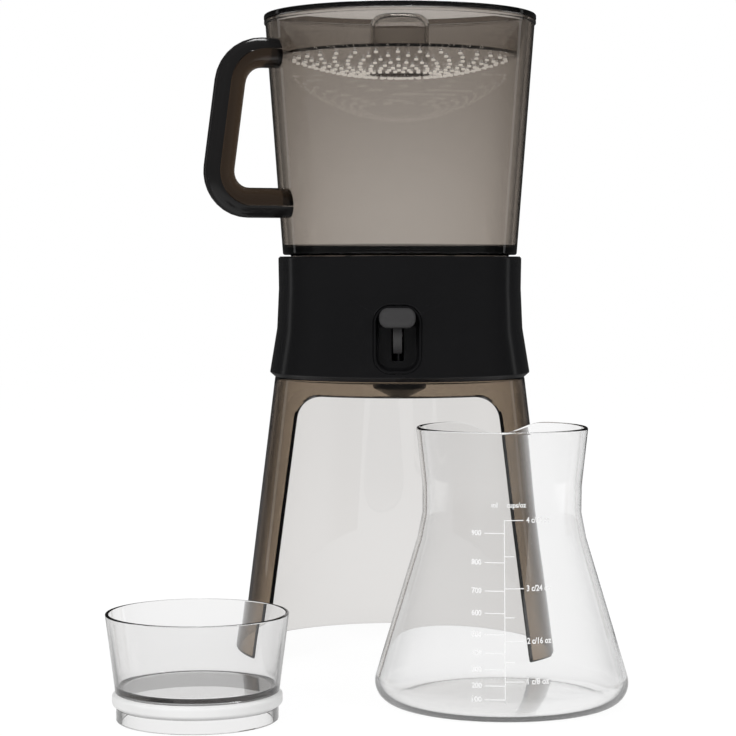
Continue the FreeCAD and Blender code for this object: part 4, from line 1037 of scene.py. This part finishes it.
def cup():
    """The stopper cup: a flared clear wall over a hollow foot that carries the white sealing ring."""
    wall = 1.8 * MM
    rim, waist, foot = (cup_high.x - cup_low.x) / 2, 42.0 * MM, 41.5 * MM
    floor = 15.6 * MM
    groove = foot - 1.0 * MM
    outline = [
        (foot - wall - 1.0 * MM, 0, 0.5 * MM),
        (foot, 0, 0.7 * MM),
        (foot, seal_low.z, 0.2 * MM),
        (groove, seal_low.z),
        (groove, seal_high.z),
        (waist, seal_high.z, 0.3 * MM),
        (rim, cup_high.z, 0.6 * MM),
        (rim - wall, cup_high.z, 0.6 * MM),
        (waist - wall, floor + wall, 1.6 * MM),
        (0, floor + wall),
        (0, floor),
        (foot - wall - 1.0 * MM, floor, 1.0 * MM),
    ]
    dress(lathe("cup_wall", outline, cup_axis), pale_clear, "pale_clear_plastic", "stopper_cup", "measuring_cup")
    reach = (seal_high.x - seal_low.x) / 2
    middle = (seal_low.z + seal_high.z) / 2
    seal_outline = [
        (groove + 0.05 * MM, seal_low.z + 0.05 * MM),
        (foot, seal_low.z + 0.05 * MM, 0.4 * MM),
        (reach, middle - 2.2 * MM, 1.8 * MM),
        (reach, middle + 2.2 * MM, 1.8 * MM),
        (foot, seal_high.z - 0.05 * MM, 0.4 * MM),
        (groove + 0.05 * MM, seal_high.z - 0.05 * MM),
    ]
    dress(lathe("seal_ring", seal_outline, cup_axis), white_silicone, "white_silicone", "stopper_cup", "cup_seal")


# Studio

# Brightness of the room and floor, by how a ray came to them
WORLD_FILL = 0.62
ROOM_DIM = 0.15
ROOM_BACK = 0.95
ROOM_SIDE = 0.12
MIRROR_BACK = 0.03
FLOOR_DIM = 0.85


def area_lamp(name, place, width, height, energy, aim=0.22, seen=True):
    """A lamp that faces the tower's axis at a height, hidden from the camera and, on request, from gloss."""
    lamp = bpy.data.lights.new(name, "AREA")
    lamp.shape = "RECTANGLE"
    lamp.size, lamp.size_y, lamp.energy = width, height, energy
    fixture = link(lamp, name)
    fixture.location = place
    fixture.rotation_euler = (Vector((0, 0, aim)) - Vector(place)).to_track_quat("-Z", "Y").to_euler()
    fixture.visible_camera = False
    fixture.visible_transmission = False
    fixture.visible_glossy = seen


def switched(tree, factor, off, on):
    """One of two numbers, or node outputs, by a factor of 0 or 1."""
    return fed(tree, "ShaderNodeMix", "Result", {"Factor": factor, "A": off, "B": on}, data_type="FLOAT")


def passed(tree, depth):
    """1 where a ray has been through at least one bounce of a kind."""
    return fed(tree, "ShaderNodeMath", "Value", {0: depth, 1: 0.5}, operation="GREATER_THAN")


def sight_strength(tree, plain, front, beyond, behind):
    """Brightness of what a ray ends on: white in plain sight and straight through clear walls, dim where it was
    mirrored on an outside, pale behind the object and dark elsewhere where it was mirrored inside a clear wall, and
    soft grey for matt faces."""
    rays = tree.nodes.new("ShaderNodeLightPath")
    inside = switched(tree, behind, ROOM_SIDE, ROOM_BACK)
    mirrored = switched(tree, beyond, front, MIRROR_BACK)
    bounced = switched(tree, passed(tree, rays.outputs["Transmission Depth"]), mirrored, inside)
    seen = switched(tree, passed(tree, rays.outputs["Glossy Depth"]), plain, bounced)
    return switched(tree, rays.outputs["Is Diffuse Ray"], seen, WORLD_FILL)


def studio_world():
    """A white backdrop in plain sight and through clear walls, with a dim room for reflections."""
    world = bpy.data.worlds.new("studio")
    bpy.context.scene.world = world
    tree, output = fresh_tree(world, "ShaderNodeOutputWorld")
    direction = tree.nodes.new("ShaderNodeTexCoord").outputs["Generated"]
    depth = fed(tree, "ShaderNodeSeparateXYZ", "Y", {"Vector": direction})
    strength = sight_strength(tree, 1.0, ROOM_DIM, share_between(tree, depth, -0.2, 0.5),
                              share_between(tree, depth, 0.55, 0.85))
    feed(tree, output, {"Surface": fed(tree, "ShaderNodeBackground", "Background",
                                       {"Color": (1, 1, 1), "Strength": strength})})


def studio_floor():
    """A pale floor that stays white to the eye and keeps a trace of the object's shadow."""
    glow_share = 0.93
    work = bmesh.new()
    bmesh.ops.create_circle(work, cap_ends=True, segments=96, radius=3.0)
    mesh = mesh_of(work, "floor")
    floor = link(mesh, "floor")
    floor.location.z = -0.2 * MM
    material = bpy.data.materials.new("floor_white")
    tree, output = fresh_tree(material, "ShaderNodeOutputMaterial")
    place = object_coordinates(tree)
    depth = fed(tree, "ShaderNodeSeparateXYZ", "Y", {"Vector": place})
    distance = fed(tree, "ShaderNodeVectorMath", "Value", {0: place}, operation="LENGTH")
    front = switched(tree, share_between(tree, distance, 0.35, 1.2), FLOOR_DIM, ROOM_DIM)
    strength = sight_strength(tree, 1.03, front, share_between(tree, depth, -0.1, 0.25),
                              share_between(tree, depth, -0.25, 0.1))
    matt = fed(tree, "ShaderNodeBsdfDiffuse", "BSDF", {"Color": (0.93, 0.93, 0.93)})
    glow = fed(tree, "ShaderNodeEmission", "Emission", {"Color": (1, 1, 1), "Strength": strength})
    mixed = fed(tree, "ShaderNodeMixShader", "Shader", {"Fac": glow_share, 1: matt, 2: glow})
    feed(tree, output, {"Surface": mixed})
    mesh.materials.append(material)


def studio():
    studio_world()
    studio_floor()
    area_lamp("key_lamp", (-0.75, -1.15, 0.95), 0.45, 0.6, 9, seen=False)
    area_lamp("fill_lamp", (0.95, -1.05, 0.75), 0.35, 0.6, 5, seen=False)
    area_lamp("top_lamp", (0.1, 0.35, 1.25), 0.7, 0.35, 7, aim=0.3)
    for name, side in (("left_card", -1), ("right_card", 1)):
        area_lamp(name, (side * 1.27, 0.8, 0.4), 0.12, 0.9, 0.12)


def camera():
    """The photograph's own view, fitted to the object's known height."""
    view = bpy.data.cameras.new("camera")
    view.sensor_width = 36
    view.lens = 109.45
    eye = link(view, "camera")
    eye.location = (0.02326, -1.34824, 0.2332)
    eye.rotation_euler = (math.radians(90 - 2.691), 0, math.radians(1.8))
    bpy.context.scene.camera = eye


stand()
collar()
bezel()
knob()
funnel()
container()
handle()
rainmaker_wall()
rainmaker_plate()
rainmaker_grip()
carafe()
carafe_scale()
cup()

# The carried-over nodes get their finished materials
for material, carried in (
        (satin_black, ("collar_deck", "collar_base", "valve_housing", "housing_nut", "valve_retainer", "valve_stem",
                       "filter_frame", "valve_lifter")),
        (dark_silicone, ("housing_gasket", "valve_seal", "filter_gasket")),
        (turned_steel, ("deck_screws", "lever_pin", "guide_rod", "valve_spring")),
        (matt_grey, ("lever_arm",)),
        (woven_mesh, ("filter_mesh",))):
    for node in carried:
        paint(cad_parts[node], material)

camera()
studio()
bpy.context.scene.view_settings.view_transform = "Standard"
bpy.context.view_layer.update()
